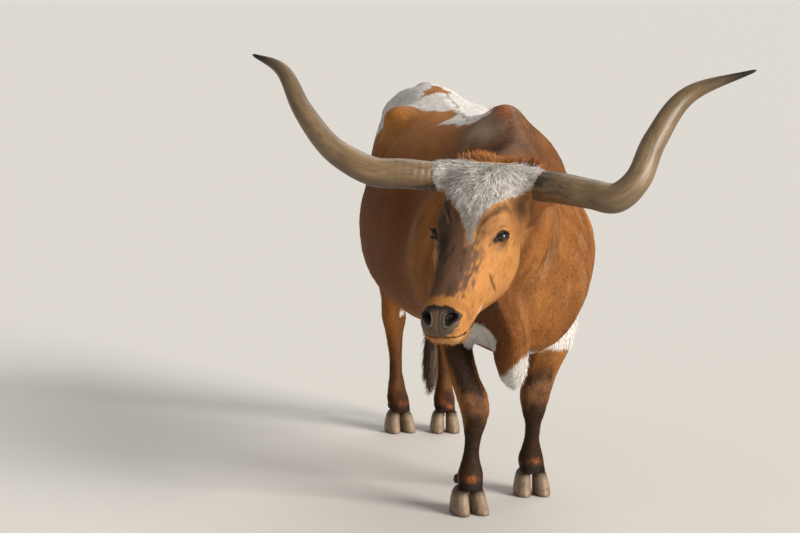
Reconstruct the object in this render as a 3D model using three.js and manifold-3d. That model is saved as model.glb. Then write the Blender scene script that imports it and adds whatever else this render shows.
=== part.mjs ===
// A standing longhorn steer, life size, in millimetres, +Z up.
// The animal faces -Y with its own left side at +X, and stands with its soles on z = 0.
import * as THREE from 'three';
import { mergeVertices } from 'three/addons/utils/BufferGeometryUtils.js';
import Module from 'manifold-3d';

const wasm = await Module();
wasm.setup();

// Driving dimensions: every table below is worked out in these
const WITHERS_HEIGHT = 1262;
const HIP_HEIGHT = 1312;
const CHEST_FLOOR = 500;
const BARREL_HALF = 358;
const SEAT_RADIUS = 51;
const EYE_RADIUS = 21;
const GAP = 0.5;

// The head hangs from the poll, turned to the animal's right and tilted down
const POLL = new THREE.Vector3(-214, -515, 1098);
const HEAD_SCALE = 0.975;
const HEAD_TURN = THREE.MathUtils.degToRad(33.5);
const HEAD_DROP = THREE.MathUtils.degToRad(46);

const SIDES = { left: 1, right: -1 };

// How finely each kind of form is cut: steps along it and points round it
const FINE = {
  trunk: [19, 24],
  neck: [8, 16],
  dewlap: [8, 10],
  head: [17, 20],
  crest: [6, 10],
  leg: [14, 10],
  horn: [18, 10],
  ear: [8, 8],
  tail: [12, 6],
  tailSwitch: [8, 6],
};
const CLAW_POINTS = 9;
const LUMP_FINE = [10, 7];
const DEWCLAW_FINE = [7, 4];
const EYE_FINE = [10, 7];

const forward = new THREE.Vector3(-Math.sin(HEAD_TURN), -Math.cos(HEAD_TURN), 0);
const up = new THREE.Vector3(0, 0, 1);
const across = new THREE.Vector3(1, 0, 0);
const headSide = new THREE.Vector3(Math.cos(HEAD_TURN), -Math.sin(HEAD_TURN), 0);
const headDown = forward.clone().multiplyScalar(Math.sin(HEAD_DROP))
  .addScaledVector(up, -Math.cos(HEAD_DROP));
const headOut = forward.clone().multiplyScalar(Math.cos(HEAD_DROP))
  .addScaledVector(up, Math.sin(HEAD_DROP));

// A point given as side, distance down the face and height off the face
function onHead(side, down, out) {
  return POLL.clone().addScaledVector(headSide, side * HEAD_SCALE)
    .addScaledVector(headDown, down * HEAD_SCALE).addScaledVector(headOut, out * HEAD_SCALE);
}

// A closed geometry as a solid that can be joined and cut
const WELD = 1e-3;

function solid(geometry) {
  const bare = geometry.clone();
  bare.deleteAttribute('normal');
  bare.deleteAttribute('uv');
  const merged = mergeVertices(bare, WELD);
  return new wasm.Manifold(new wasm.Mesh({
    numProp: 3,
    vertProperties: new Float32Array(merged.attributes.position.array),
    triVerts: new Uint32Array(merged.index.array),
  }));
}

function union(parts) {
  return parts.reduce((whole, part) => whole.add(part));
}

// Rows of numbers, read off smoothly at steps along them
function smoothRows(rows, steps) {
  const last = rows.length - 1;
  const read = (i, k) => rows[Math.min(Math.max(i, 0), last)][k];
  return Array.from({ length: steps + 1 }, (unused, step) => {
    const at = (step / steps) * last;
    const i = Math.min(Math.floor(at), last - 1);
    const t = at - i;
    return rows[0].map((first, k) => {
      const [a, b, c, d] = [read(i - 1, k), read(i, k), read(i + 1, k), read(i + 2, k)];
      return b + 0.5 * t * (c - a + t * (2 * a - 5 * b + 4 * c - d + t * (3 * (b - c) + d - a)));
    });
  });
}

// One ring: a rounded outline with its own height above and below its widest line
function ring(centre, side, rise, size, count, grow = 0) {
  const { half, top, low, topPower, lowPower } = size;
  return Array.from({ length: count }, (unused, i) => {
    const angle = (2 * Math.PI * i) / count;
    const c = Math.cos(angle);
    const s = Math.sin(angle);
    const power = s >= 0 ? topPower : lowPower;
    const wide = Math.sign(c) * Math.abs(c) ** (2 / power) * (half + grow);
    const high = Math.sign(s) * Math.abs(s) ** (2 / power) * ((s >= 0 ? top : low) + grow);
    return centre.clone().addScaledVector(side, wide).addScaledVector(rise, high);
  });
}

function centreOf(points) {
  return points.reduce((sum, p) => sum.add(p), new THREE.Vector3()).divideScalar(points.length);
}

// An end ring moved out along the form, so that a grown form is longer as well as wider
function pushedOut(end, inner, grow) {
  const out = centreOf(end).sub(centreOf(inner)).setLength(grow);
  return end.map((point) => point.clone().add(out));
}

// A closed skin over rings, with a flat fan at each end
function loft(rings, grow = 0) {
  const count = rings[0].length;
  const [first, second] = rings;
  const [previous, last] = rings.slice(-2);
  const ends = [pushedOut(first, second, grow), pushedOut(last, previous, grow)];
  const points = [ends[0], ...rings.slice(1, -1), ends[1]].flat();
  points.push(centreOf(ends[0]), centreOf(ends[1]));
  const faces = [];
  for (let r = 0; r < rings.length - 1; r += 1) {
    for (let i = 0; i < count; i += 1) {
      const a = r * count + i;
      const b = r * count + ((i + 1) % count);
      faces.push(a, b, b + count, a, b + count, a + count);
    }
  }
  const fan = rings.length * count;
  for (let i = 0; i < count; i += 1) {
    const next = (i + 1) % count;
    faces.push(fan, next, i);
    faces.push(fan + 1, fan - count + i, fan - count + next);
  }
  if (volumeOf(points, faces) < 0) {
    for (let i = 0; i < faces.length; i += 3) {
      [faces[i + 1], faces[i + 2]] = [faces[i + 2], faces[i + 1]];
    }
  }
  const geometry = new THREE.BufferGeometry().setFromPoints(points);
  geometry.setIndex(faces);
  return solid(geometry);
}

function volumeOf(points, faces) {
  let sum = 0;
  for (let i = 0; i < faces.length; i += 3) {
    const [a, b, c] = [points[faces[i]], points[faces[i + 1]], points[faces[i + 2]]];
    sum += a.dot(b.clone().cross(c));
  }
  return sum / 6;
}

// A limb, neck or horn: rows of x, y, z, half across, half over, half under, power
function limb(rows, [steps, count], sideHint, grow = 0) {
  const smooth = smoothRows(rows, steps);
  const centres = smooth.map(([x, y, z]) => new THREE.Vector3(x, y, z));
  return loft(smooth.map((row, i) => {
    const ahead = centres[Math.min(i + 1, steps)].clone().sub(centres[Math.max(i - 1, 0)]).normalize();
    const side = sideHint.clone().addScaledVector(ahead, -sideHint.dot(ahead)).normalize();
    const rise = ahead.clone().cross(side);
    const [half, top, low, power] = row.slice(3);
    const size = { half, top, low, topPower: power, lowPower: power };
    return ring(centres[i], side, rise, size, count, grow);
  }), grow);
}

// An egg-shaped mass, such as a muscle or a bony point, tipped about X by an angle in degrees
function lump(centre, radii, tip, fine, grow = 0) {
  const geometry = new THREE.SphereGeometry(1, ...fine);
  geometry.scale(...radii.map((r) => r + grow));
  geometry.rotateX(THREE.MathUtils.degToRad(tip));
  geometry.translate(...centre);
  return solid(geometry);
}

// Trunk: y, top, bottom, half width, height of the widest line, power above, power below
const TRUNK_ROWS = [
  [-300, 960, 640, 60, 800, 2.0, 2.0],
  [-270, 1040, 560, 140, 790, 1.8, 2.0],
  [-200, 1130, 500, 205, 775, 1.6, 2.0],
  [-90, 1218, 478, 250, 770, 1.55, 1.9],
  [50, WITHERS_HEIGHT, 482, 286, 770, 1.42, 1.9],
  [200, 1248, CHEST_FLOOR, 315, 775, 1.5, 2.0],
  [380, 1222, 494, 342, 785, 1.8, 2.1],
  [570, 1208, 478, BARREL_HALF, 800, 2.0, 2.1],
  [760, 1214, 484, 350, 825, 2.1, 2.1],
  [920, 1244, 540, 300, 880, 2.1, 2.0],
  [1060, 1280, 620, 258, 930, 2.0, 2.0],
  [1210, HIP_HEIGHT - 8, 700, 225, 970, 2.0, 2.1],
  [1330, 1300, 780, 175, 1010, 2.1, 2.2],
  [1400, 1240, 880, 110, 1050, 2.1, 2.2],
  [1425, 1170, 960, 50, 1065, 2.0, 2.0],
];

function trunkLoft(grow) {
  const [steps, count] = FINE.trunk;
  return loft(smoothRows(TRUNK_ROWS, steps).map((row) => {
    const [y, top, bottom, half, widest, topPower, lowPower] = row;
    const size = { half, top: top - widest, low: widest - bottom, topPower, lowPower };
    return ring(new THREE.Vector3(0, y, widest), across, up, size, count, grow);
  }), grow);
}

// Hip bones, pin bones and thighs, on both sides of the trunk: side, y, z, radii, tip
const TRUNK_MASSES = [
  [150, 930, 1155, [70, 96, 62], 0],
  [92, 1296, 1170, [70, 84, 62], 0],
  [128, 1110, 900, [108, 190, 240], -12],
];

function trunkSolid(grow = 0) {
  const masses = TRUNK_MASSES.flatMap(([x, y, z, radii, tip]) => [1, -1].map(
    (flip) => lump([x * flip, y, z], radii, tip, LUMP_FINE, grow),
  ));
  return union([trunkLoft(grow), ...masses]);
}

// Legs: x, y, z, half across, half front, half back, power
const LEG_ROWS = {
  foreleg_right: [
    [-184, -40, 780, 74, 84, 84, 2.2],
    [-198, -62, 690, 72, 80, 86, 2.2],
    [-206, -100, 600, 60, 64, 76, 2.3],
    [-196, -132, 500, 52, 52, 58, 2.3],
    [-172, -150, 410, 47, 46, 48, 2.3],
    [-149, -156, 350, 52, 50, 44, 2.5],
    [-147, -152, 300, 44, 43, 40, 2.4],
    [-151, -142, 240, 29, 31, 33, 2.2],
    [-155, -136, 180, 28, 31, 35, 2.2],
    [-157, -136, 125, 40, 40, 46, 2.3],
    [-161, -150, 88, 42, 42, 42, 2.4],
    [-163, -160, 62, 50, 50, 48, 2.5],
  ],
  foreleg_left: [
    [180, 110, 780, 80, 84, 84, 2.2],
    [188, 104, 690, 84, 80, 86, 2.2],
    [178, 84, 600, 78, 70, 82, 2.3],
    [154, 64, 500, 66, 58, 64, 2.3],
    [122, 48, 410, 53, 48, 51, 2.3],
    [97, 42, 345, 52, 50, 44, 2.5],
    [95, 46, 295, 44, 43, 40, 2.4],
    [98, 62, 238, 29, 31, 33, 2.2],
    [98, 78, 180, 28, 31, 35, 2.2],
    [98, 88, 125, 40, 40, 46, 2.3],
    [100, 82, 88, 42, 42, 42, 2.4],
    [101, 76, 62, 50, 50, 48, 2.5],
  ],
  hindleg_right: [
    [-150, 1150, 900, 80, 150, 150, 2.2],
    [-156, 1160, 780, 78, 130, 130, 2.2],
    [-154, 1205, 660, 62, 96, 92, 2.2],
    [-134, 1272, 560, 48, 62, 66, 2.2],
    [-116, 1318, 480, 42, 46, 60, 2.3],
    [-108, 1330, 420, 46, 50, 50, 2.4],
    [-106, 1326, 360, 36, 42, 40, 2.3],
    [-106, 1312, 290, 28, 32, 36, 2.2],
    [-106, 1296, 200, 27, 32, 36, 2.2],
    [-104, 1282, 130, 38, 41, 46, 2.3],
    [-102, 1256, 88, 40, 42, 42, 2.4],
    [-101, 1242, 62, 47, 49, 47, 2.5],
  ],
  hindleg_left: [
    [150, 1140, 900, 80, 150, 150, 2.2],
    [154, 1150, 780, 78, 130, 130, 2.2],
    [148, 1190, 660, 62, 96, 92, 2.2],
    [122, 1246, 560, 48, 62, 66, 2.2],
    [98, 1288, 480, 42, 46, 60, 2.3],
    [86, 1300, 420, 46, 50, 50, 2.4],
    [80, 1296, 360, 36, 42, 40, 2.3],
    [76, 1282, 290, 28, 32, 36, 2.2],
    [72, 1264, 200, 27, 32, 36, 2.2],
    [68, 1248, 130, 38, 41, 46, 2.3],
    [65, 1222, 88, 40, 42, 42, 2.4],
    [64, 1208, 62, 47, 49, 47, 2.5],
  ],
};

function legSolid(name, grow = 0) {
  return limb(LEG_ROWS[name], FINE.leg, across, grow);
}

// Feet: where each stands, its size and which way it points, in degrees from -Y
const FEET = {
  foreleg_right: { x: -164, y: -150, scale: 1, turn: 4 },
  foreleg_left: { x: 101, y: 86, scale: 1, turn: -4 },
  hindleg_right: { x: -101, y: 1250, scale: 0.94, turn: 4 },
  hindleg_left: { x: 64, y: 1216, scale: 0.94, turn: -6 },
};

// One claw, from the flat sole up: z, half width, reach to the toe, reach to the heel
const CLAW_ROWS = [
  [0, 29, 72, 52],
  [8, 29, 71, 53],
  [40, 27, 56, 50],
  [72, 23, 42, 44],
  [88, 16, 30, 32],
];
const CLAW_CLEFT = 3;
const CLAW_LEAN_BACK = 0.12;
const CLAW_SQUARE = 0.85;

function clawRing([z, half, toe, heel], flip, grow) {
  const middle = (half + CLAW_CLEFT) * flip;
  return Array.from({ length: CLAW_POINTS }, (unused, i) => {
    const angle = (2 * Math.PI * i) / CLAW_POINTS;
    const [c, s] = [Math.cos(angle), Math.sin(angle)];
    const reach = (c > 0 ? toe : heel) + grow;
    const x = middle + Math.sign(s) * Math.abs(s) ** CLAW_SQUARE * (half + grow);
    const y = z * CLAW_LEAN_BACK - Math.sign(c) * Math.abs(c) ** CLAW_SQUARE * reach;
    return new THREE.Vector3(x, y, z);
  });
}

function clawSolid(foot, flip, grow = 0) {
  const place = new THREE.Matrix4().makeRotationZ(THREE.MathUtils.degToRad(foot.turn));
  place.scale(new THREE.Vector3(foot.scale, foot.scale, foot.scale));
  place.setPosition(foot.x, foot.y, 0);
  const rings = CLAW_ROWS.map((row) => clawRing(row, flip, grow));
  return loft(rings.map((points) => points.map((p) => p.applyMatrix4(place))), grow);
}

// Dewclaws: a small one behind each claw
const DEWCLAW = { side: 25, back: 52, height: 100, radii: [13, 16, 24], tip: 32 };

function dewclawSolid(foot, flip) {
  const centre = new THREE.Vector3(DEWCLAW.side * flip, DEWCLAW.back, DEWCLAW.height)
    .multiplyScalar(foot.scale)
    .applyAxisAngle(up, THREE.MathUtils.degToRad(foot.turn))
    .add(new THREE.Vector3(foot.x, foot.y, 0));
  return lump(centre.toArray(), DEWCLAW.radii, DEWCLAW.tip, DEWCLAW_FINE);
}

// Head, down the face from the poll: down, half width, top, bottom, widest, power over, power under
const HEAD_ROWS = [
  [-40, 60, -18, -120, -66, 2.0, 2.2],
  [-20, 104, 4, -170, -66, 2.2, 2.2],
  [30, 124, 10, -210, -70, 2.5, 2.3],
  [90, 119, 8, -242, -84, 2.6, 2.4],
  [150, 120, 5, -272, -110, 2.4, 2.5],
  [205, 121, 2, -290, -124, 2.2, 2.5],
  [260, 111, 0, -284, -126, 2.0, 2.4],
  [320, 92, -2, -256, -116, 1.9, 2.3],
  [380, 74, -4, -216, -98, 2.0, 2.3],
  [435, 66, -6, -182, -86, 2.2, 2.4],
  [485, 68, -8, -160, -78, 2.4, 2.6],
  [525, 68, -18, -150, -78, 2.6, 2.6],
  [550, 61, -36, -138, -84, 2.6, 2.4],
  [564, 44, -54, -120, -88, 2.4, 2.3],
];

// The bony rim of each eye, with its radii to the side, out from the face and down it
const ORBIT = { side: 92, down: 190, out: -42, radii: [25, 33, 50] };
const HEAD_BASIS = new THREE.Matrix4().makeBasis(headSide, headOut, headDown);

function orbitSolid(flip, grow) {
  const geometry = new THREE.SphereGeometry(1, ...LUMP_FINE);
  geometry.scale(...ORBIT.radii.map((r) => r * HEAD_SCALE + grow));
  geometry.applyMatrix4(HEAD_BASIS);
  geometry.translate(...onHead(ORBIT.side * flip, ORBIT.down, ORBIT.out).toArray());
  return solid(geometry);
}

// A round form on the head: rows of side, down, out, half across, half over, half under
function headLimb(rows, fine, power, grow = 0) {
  const placed = rows.map(([side, down, out, ...sizes]) => [
    ...onHead(side, down, out).toArray(),
    ...sizes.map((size) => size * HEAD_SCALE),
    power,
  ]);
  return limb(placed, fine, headDown, grow);
}

// The crest between the horns, ending in the two horn seats: side, down, out, radius
const CREST_ROWS = [
  [-171, -20, -45, SEAT_RADIUS],
  [-110, -26, -46, 50],
  [0, -30, -44, 48],
  [110, -18, -52, 50],
  [183, -5, -60, SEAT_RADIUS],
];
const ROUND_POWER = 2;

function crestSolid(grow) {
  const rows = CREST_ROWS.map(([side, down, out, r]) => [side, down, out, r, r, r]);
  return headLimb(rows, FINE.crest, ROUND_POWER, grow);
}

function headSolid(grow = 0) {
  const [steps, count] = FINE.head;
  const rings = smoothRows(HEAD_ROWS, steps).map((row) => {
    const [down, half, top, bottom, widest, topPower, lowPower] = row;
    const size = {
      half: half * HEAD_SCALE,
      top: (top - widest) * HEAD_SCALE,
      low: (widest - bottom) * HEAD_SCALE,
      topPower,
      lowPower,
    };
    return ring(onHead(0, down, widest), headSide, headOut, size, count, grow);
  });
  return union([loft(rings, grow), orbitSolid(1, grow), orbitSolid(-1, grow), crestSolid(grow)]);
}

// Neck: x, y, z, half across, half over, half under, power
const NECK_ROWS = [
  [0, 30, 930, 165, 240, 290, 1.6],
  [-8, -110, 925, 178, 266, 305, 1.6],
  [-44, -230, 930, 154, 250, 265, 1.75],
  [-98, -340, 945, 126, 212, 200, 1.9],
  [-156, -435, 962, 110, 165, 165, 2.0],
  [-205, -510, 985, 98, 112, 135, 2.1],
];

function neckSolid(grow = 0) {
  return limb(NECK_ROWS, FINE.neck, across, grow);
}

// Dewlap: a fold of skin from the throat down to the brisket, in rows like the neck's
const DEWLAP_ROWS = [
  [-172, -455, 790, 24, 60, 60, 2.0],
  [-135, -400, 715, 26, 72, 80, 2.0],
  [-88, -335, 650, 36, 80, 90, 2.0],
  [-64, -280, 570, 54, 85, 95, 2.0],
  [-54, -235, 480, 56, 72, 90, 2.0],
  [-34, -215, 408, 20, 22, 26, 2.0],
];

function dewlapSolid(grow = 0) {
  return limb(DEWLAP_ROWS, FINE.dewlap, across, grow);
}

// Horns: side, down the face, out from the face, radius. No two horns grow quite alike
const HORN_ROWS = {
  right: [
    [168, -20, -45, 46],
    [250, 5, -10, 46],
    [335, 20, 10, 45],
    [415, 5, 40, 42],
    [500, -40, 70, 37],
    [605, -145, 110, 31],
    [700, -270, 150, 22],
    [815, -320, 170, 4],
  ],
  left: [
    [180, -5, -60, 47],
    [270, 42, -15, 46],
    [360, 68, -5, 44],
    [440, 82, 0, 44],
    [498, 25, 25, 39],
    [530, -100, 60, 35],
    [605, -250, 90, 26],
    [795, -335, 110, 4],
  ],
};

function hornSolid(side) {
  const rows = HORN_ROWS[side].map(([wide, down, out, r]) => [wide * SIDES[side], down, out, r, r, r]);
  return headLimb(rows, FINE.horn, ROUND_POWER);
}

// Eyes: side, down, out
const EYE_PLACE = [99, 203, -55];

function eyeSolid(flip, grow = 0) {
  const [side, down, out] = EYE_PLACE;
  const geometry = new THREE.SphereGeometry(EYE_RADIUS + grow, ...EYE_FINE);
  geometry.translate(...onHead(side * flip, down, out).toArray());
  return solid(geometry);
}

// Ears: a leaf laid back under each horn: side, down, out, half width, half thickness twice
const EAR_ROWS = [
  [104, 70, -98, 26, 20, 20],
  [117, 46, -118, 32, 15, 15],
  [130, 10, -148, 41, 12, 12],
  [143, -32, -182, 40, 10, 10],
  [154, -66, -210, 26, 8, 8],
  [161, -88, -228, 7, 4, 4],
];

function earSolid(flip) {
  const rows = EAR_ROWS.map(([side, ...rest]) => [side * flip, ...rest]);
  return headLimb(rows, FINE.ear, ROUND_POWER);
}

// Tail and its switch, hanging down behind: rows like the neck's
const TAIL_ROWS = [
  [10, 1320, 1268, 32, 32, 32, 2],
  [14, 1396, 1260, 29, 29, 29, 2],
  [20, 1440, 1200, 25, 24, 24, 2],
  [28, 1448, 1080, 21, 20, 20, 2],
  [38, 1438, 900, 18, 17, 17, 2],
  [46, 1420, 700, 15, 15, 15, 2],
  [52, 1408, 500, 13, 13, 13, 2],
  [54, 1402, 360, 12, 12, 12, 2],
];
const SWITCH_ROWS = [
  [54, 1403, 380, 20, 20, 20, 2],
  [54, 1402, 320, 28, 27, 27, 2],
  [53, 1400, 240, 33, 30, 30, 2],
  [50, 1397, 180, 26, 24, 24, 2],
  [46, 1395, 145, 6, 6, 6, 2],
];

function tailSolid(grow = 0) {
  return limb(TAIL_ROWS, FINE.tail, across, grow);
}

// The finish of each kind of surface: colour and roughness
const COAT = { color: '#9a5424', roughness: 0.6 };
const DARK_COAT = { color: '#3d241a', roughness: 0.6 };
const HORN = { color: '#a8977c', roughness: 0.35 };
const CLAW = { color: '#8a7a68', roughness: 0.6 };
const EYE = { color: '#1c130d', roughness: 0.1 };

const group = new THREE.Group();

function addMesh(name, form, finish) {
  const mesh = form.getMesh();
  const geometry = new THREE.BufferGeometry();
  geometry.setAttribute('position', new THREE.BufferAttribute(mesh.vertProperties, 3));
  geometry.setIndex(new THREE.BufferAttribute(mesh.triVerts, 1));
  const node = new THREE.Mesh(geometry, new THREE.MeshStandardMaterial({ ...finish, metalness: 0 }));
  node.name = name;
  group.add(node);
}

// Each part is cut clear of the ones that it grows from
const trunkGrown = trunkSolid(GAP);
const headGrown = headSolid(GAP);
const neckGrown = neckSolid(GAP);
const eyes = eyeSolid(1, GAP).add(eyeSolid(-1, GAP));

addMesh('trunk', trunkSolid(), COAT);
addMesh('head', headSolid().subtract(eyes), COAT);
addMesh('neck', neckSolid().subtract(trunkGrown).subtract(headGrown), COAT);
addMesh('dewlap', dewlapSolid().subtract(trunkGrown).subtract(neckGrown).subtract(headGrown), COAT);
addMesh('tail', tailSolid().subtract(trunkGrown), COAT);
addMesh('tail_switch', limb(SWITCH_ROWS, FINE.tailSwitch, across).subtract(tailSolid(GAP)), DARK_COAT);

for (const [side, flip] of Object.entries(SIDES)) {
  addMesh(`eye_${side}`, eyeSolid(flip), EYE);
  addMesh(`ear_${side}`, earSolid(flip).subtract(headGrown).subtract(neckGrown), COAT);
  addMesh(`horn_${side}`, hornSolid(side).subtract(headGrown), HORN);
}

for (const [name, foot] of Object.entries(FEET)) {
  const claws = clawSolid(foot, 1, GAP).add(clawSolid(foot, -1, GAP));
  const leg = legSolid(name).subtract(trunkGrown).subtract(neckGrown).subtract(claws);
  const outward = Math.sign(foot.x);
  addMesh(name, leg, DARK_COAT);
  for (const [which, flip] of [['outer', outward], ['inner', -outward]]) {
    addMesh(`${name}_claw_${which}`, clawSolid(foot, flip), CLAW);
    addMesh(`${name}_dewclaw_${which}`, dewclawSolid(foot, flip).subtract(legSolid(name, GAP)), CLAW);
  }
}

// The origin is on the floor, under the middle of the animal's own box
const box = new THREE.Box3().setFromObject(group);
const middle = box.getCenter(new THREE.Vector3());
group.position.set(-middle.x, -middle.y, -box.min.z);

export default group;
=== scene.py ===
import math

import bmesh
import bpy
import numpy as np
from mathutils import Euler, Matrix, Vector


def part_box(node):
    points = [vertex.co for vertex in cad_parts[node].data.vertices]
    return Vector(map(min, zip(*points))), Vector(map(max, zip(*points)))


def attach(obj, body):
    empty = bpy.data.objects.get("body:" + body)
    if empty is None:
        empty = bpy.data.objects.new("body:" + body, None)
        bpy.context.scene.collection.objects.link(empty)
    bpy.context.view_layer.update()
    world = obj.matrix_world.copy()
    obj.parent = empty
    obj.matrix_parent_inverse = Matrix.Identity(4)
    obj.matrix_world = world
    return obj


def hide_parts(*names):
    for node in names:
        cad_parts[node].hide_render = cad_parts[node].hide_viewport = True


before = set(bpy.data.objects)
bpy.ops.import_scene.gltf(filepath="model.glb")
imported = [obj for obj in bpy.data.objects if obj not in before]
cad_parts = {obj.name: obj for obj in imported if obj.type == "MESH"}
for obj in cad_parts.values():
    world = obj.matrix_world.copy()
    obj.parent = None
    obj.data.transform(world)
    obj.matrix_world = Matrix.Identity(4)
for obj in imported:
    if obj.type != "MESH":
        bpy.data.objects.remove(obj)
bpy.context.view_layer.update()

MM = 0.001
TURN = 2 * math.pi
BODY = "root"
SIDES = {"left": 1, "right": -1}
LEGS = ("foreleg_right", "foreleg_left", "hindleg_right", "hindleg_left")
FLESH = ("trunk", "head", "neck", "dewlap", "tail", "tail_switch", "ear_left", "ear_right", *LEGS)
rng = np.random.default_rng(7)


# Small tools


def unit(vectors):
    """Vectors of length one."""
    vectors = np.asarray(vectors, float)
    return vectors / np.maximum(np.linalg.norm(vectors, axis=-1, keepdims=True), 1e-12)


def ease(low, high, value):
    """A smooth step from 0 at low to 1 at high."""
    t = np.clip((value - low) / (high - low), 0, 1)
    return t * t * (3 - 2 * t)


def band(low, high, soft, value):
    """1 between low and high, fading out over soft on each side."""
    return ease(low - soft, low + soft, value) * (1 - ease(high - soft, high + soft, value))


def bell(value, centre, width):
    """1 at the centre, fading out over the width on each side."""
    return np.exp(-(((value - centre) / width) ** 2))


def waves(value, step):
    """Waves from -1 to 1, one to each step."""
    return np.cos(value * TURN / step)


def mound(points, centre, radii):
    """A soft mound, 1 at its centre and fading over its radii."""
    q = (points - np.asarray(centre)) / np.asarray(radii)
    return np.exp(-(q * q).sum(-1))


# Noise is turned off the axes, so that none of its cells line up with the model
TWIST = np.array(Euler((0.6, 0.8, 1.1)).to_matrix())
# Large odd numbers, which scatter the values of its cells
CELL_HASHES = (73856093, 19349663, 83492791)
SEED_HASH = 40503
LAST_HASH = 1274126177
# Layered noise: how many layers it has, and how much weaker each finer one is
LAYERS, FINER = 3, 1.6


def noise(points, size, seed):
    """Smooth random values from -1 to 1, changing over a distance of size. Each use has its own seed."""
    q = points @ TWIST / size
    cell = np.floor(q).astype(np.int64)
    t = q - cell
    t = t * t * (3 - 2 * t)
    total = np.zeros(len(points))
    for corner in np.ndindex(2, 2, 2):
        at = cell + np.array(corner)
        mixed = np.bitwise_xor.reduce(at * CELL_HASHES, axis=1) ^ seed * SEED_HASH
        mixed = (mixed ^ (mixed >> 13)) * LAST_HASH
        value = ((mixed ^ (mixed >> 16)) & 0xFFFF) / 32767.5 - 1
        share = np.where(corner, t, 1 - t).prod(1)
        total += value * share
    return total


def layered(points, size, seed):
    """Noise with finer noise on it."""
    layers = (noise(points, size / 2**k, seed + k) / FINER**k for k in range(LAYERS))
    return sum(layers) / FINER


def noises(points, size, seed):
    """Three noises as one vector for each point."""
    return np.stack([noise(points, size, seed + k) for k in range(3)], 1)


def shaken(points, reach, size, seed):
    """Points moved about smoothly, which makes what is drawn on them wavy."""
    return points + reach * noises(points, size, seed)


def inside(places, outline, soft):
    """How far places in a plane lie inside an outline, from 0 to 1 over a soft edge."""
    x, y = places.T
    near = np.full(len(x), np.inf)
    odd = np.zeros(len(x), bool)
    for (ax, ay), (bx, by) in zip(outline, outline[1:] + outline[:1]):
        ex, ey = bx - ax, by - ay
        t = np.clip(((x - ax) * ex + (y - ay) * ey) / (ex * ex + ey * ey), 0, 1)
        near = np.minimum(near, np.hypot(x - ax - t * ex, y - ay - t * ey))
        crossing = (ay > y) != (by > y)
        odd ^= crossing & (x < ax + (y - ay) * ex / (ey or 1e-9))
    return ease(-soft, soft, np.where(odd, near, -near))


def near_line(places, line):
    """The distance from places in a plane to a line through some points."""
    near = np.full(len(places), np.inf)
    for start, end in zip(line, line[1:]):
        along = np.subtract(end, start)
        t = np.clip((places - start) @ along / (along @ along), 0, 1)
        near = np.minimum(near, np.linalg.norm(places - start - t[:, None] * along, axis=1))
    return near


def lay(under, over, share):
    """Colours or directions with another laid over them by a share. A name stands for its tone."""
    under, over = (TONES[part] if isinstance(part, str) else part for part in (under, over))
    return under + (over - under) * np.clip(share, 0, 1)[:, None]


def lay_all(under, *layers):
    """Colours with several laid over them in turn, each with its share."""
    for over, share in layers:
        under = lay(under, over, share)
    return under


# The frames that the model is measured in: the body's own, and the head's


POLL = np.array((-0.214, -0.515, 1.098))
HEAD_SCALE = 0.975
HEAD_TURN = math.radians(33.5)
HEAD_DROP = math.radians(46)
UP = np.array((0, 0, 1.0))
FORWARD = np.array((-math.sin(HEAD_TURN), -math.cos(HEAD_TURN), 0))
HEAD_SIDE = np.array((math.cos(HEAD_TURN), -math.sin(HEAD_TURN), 0))
HEAD_DOWN = FORWARD * math.sin(HEAD_DROP) - UP * math.cos(HEAD_DROP)
HEAD_OUT = FORWARD * math.cos(HEAD_DROP) + UP * math.sin(HEAD_DROP)
HEAD_AXES = np.array((HEAD_SIDE, HEAD_DOWN, HEAD_OUT))
EYE_PLACE = np.array((99, 203, -55))


def on_head(places):
    """Points given in millimetres to the left, down the face and out from it."""
    return POLL + np.asarray(places, float) * HEAD_SCALE * MM @ HEAD_AXES


def head_places(points):
    """Side, down and out of points, in millimetres."""
    return (points - POLL) @ HEAD_AXES.T / (HEAD_SCALE * MM)


# The body's frame has its origin on the floor under the withers
eye_low, eye_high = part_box("eye_left")
WITHERS = np.array((eye_low + eye_high) / 2) - on_head(EYE_PLACE)


# Meshes


def placed(name, data):
    """A new object in the scene."""
    made = bpy.data.objects.new(name, data)
    bpy.context.scene.collection.objects.link(made)
    return made


def set_points(mesh, points):
    """Moves a mesh's points to places given in the body's frame."""
    mesh.vertices.foreach_set("co", (points + WITHERS).astype(np.float32).ravel())


def make_piece(name, points, faces, material):
    """A smooth mesh piece of the body, given in the body's frame."""
    mesh = bpy.data.meshes.new(name)
    faces = np.asarray(faces)
    mesh.vertices.add(len(points))
    set_points(mesh, points)
    mesh.loops.add(faces.size)
    mesh.loops.foreach_set("vertex_index", faces.astype(np.int32).ravel())
    mesh.polygons.add(len(faces))
    mesh.polygons.foreach_set("loop_start", np.arange(0, faces.size, faces.shape[1], dtype=np.int32))
    mesh.polygons.foreach_set("use_smooth", np.ones(len(faces), bool))
    mesh.update(calc_edges=True)
    mesh.materials.append(material)
    piece = placed(name, mesh)
    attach(piece, BODY)
    return piece


def paint(piece, colours, name="coat_colour"):
    """Gives each point of a piece its colour, in linear light."""
    layer = piece.data.color_attributes.new(name, "FLOAT_COLOR", "POINT")
    values = np.ones((len(colours), 4), np.float32)
    values[:, :3] = colours
    layer.data.foreach_set("color", values.ravel())


def measure(piece, values, name):
    """Gives each point of a piece a number that its material reads."""
    layer = piece.data.attributes.new(name, "FLOAT", "POINT")
    layer.data.foreach_set("value", np.asarray(values, np.float32))


def column(rows, name, width, kind):
    """One field of all the rows of a mesh."""
    values = np.empty(len(rows) * width, kind)
    rows.foreach_get(name, values)
    return values.reshape(-1, width)


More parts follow.
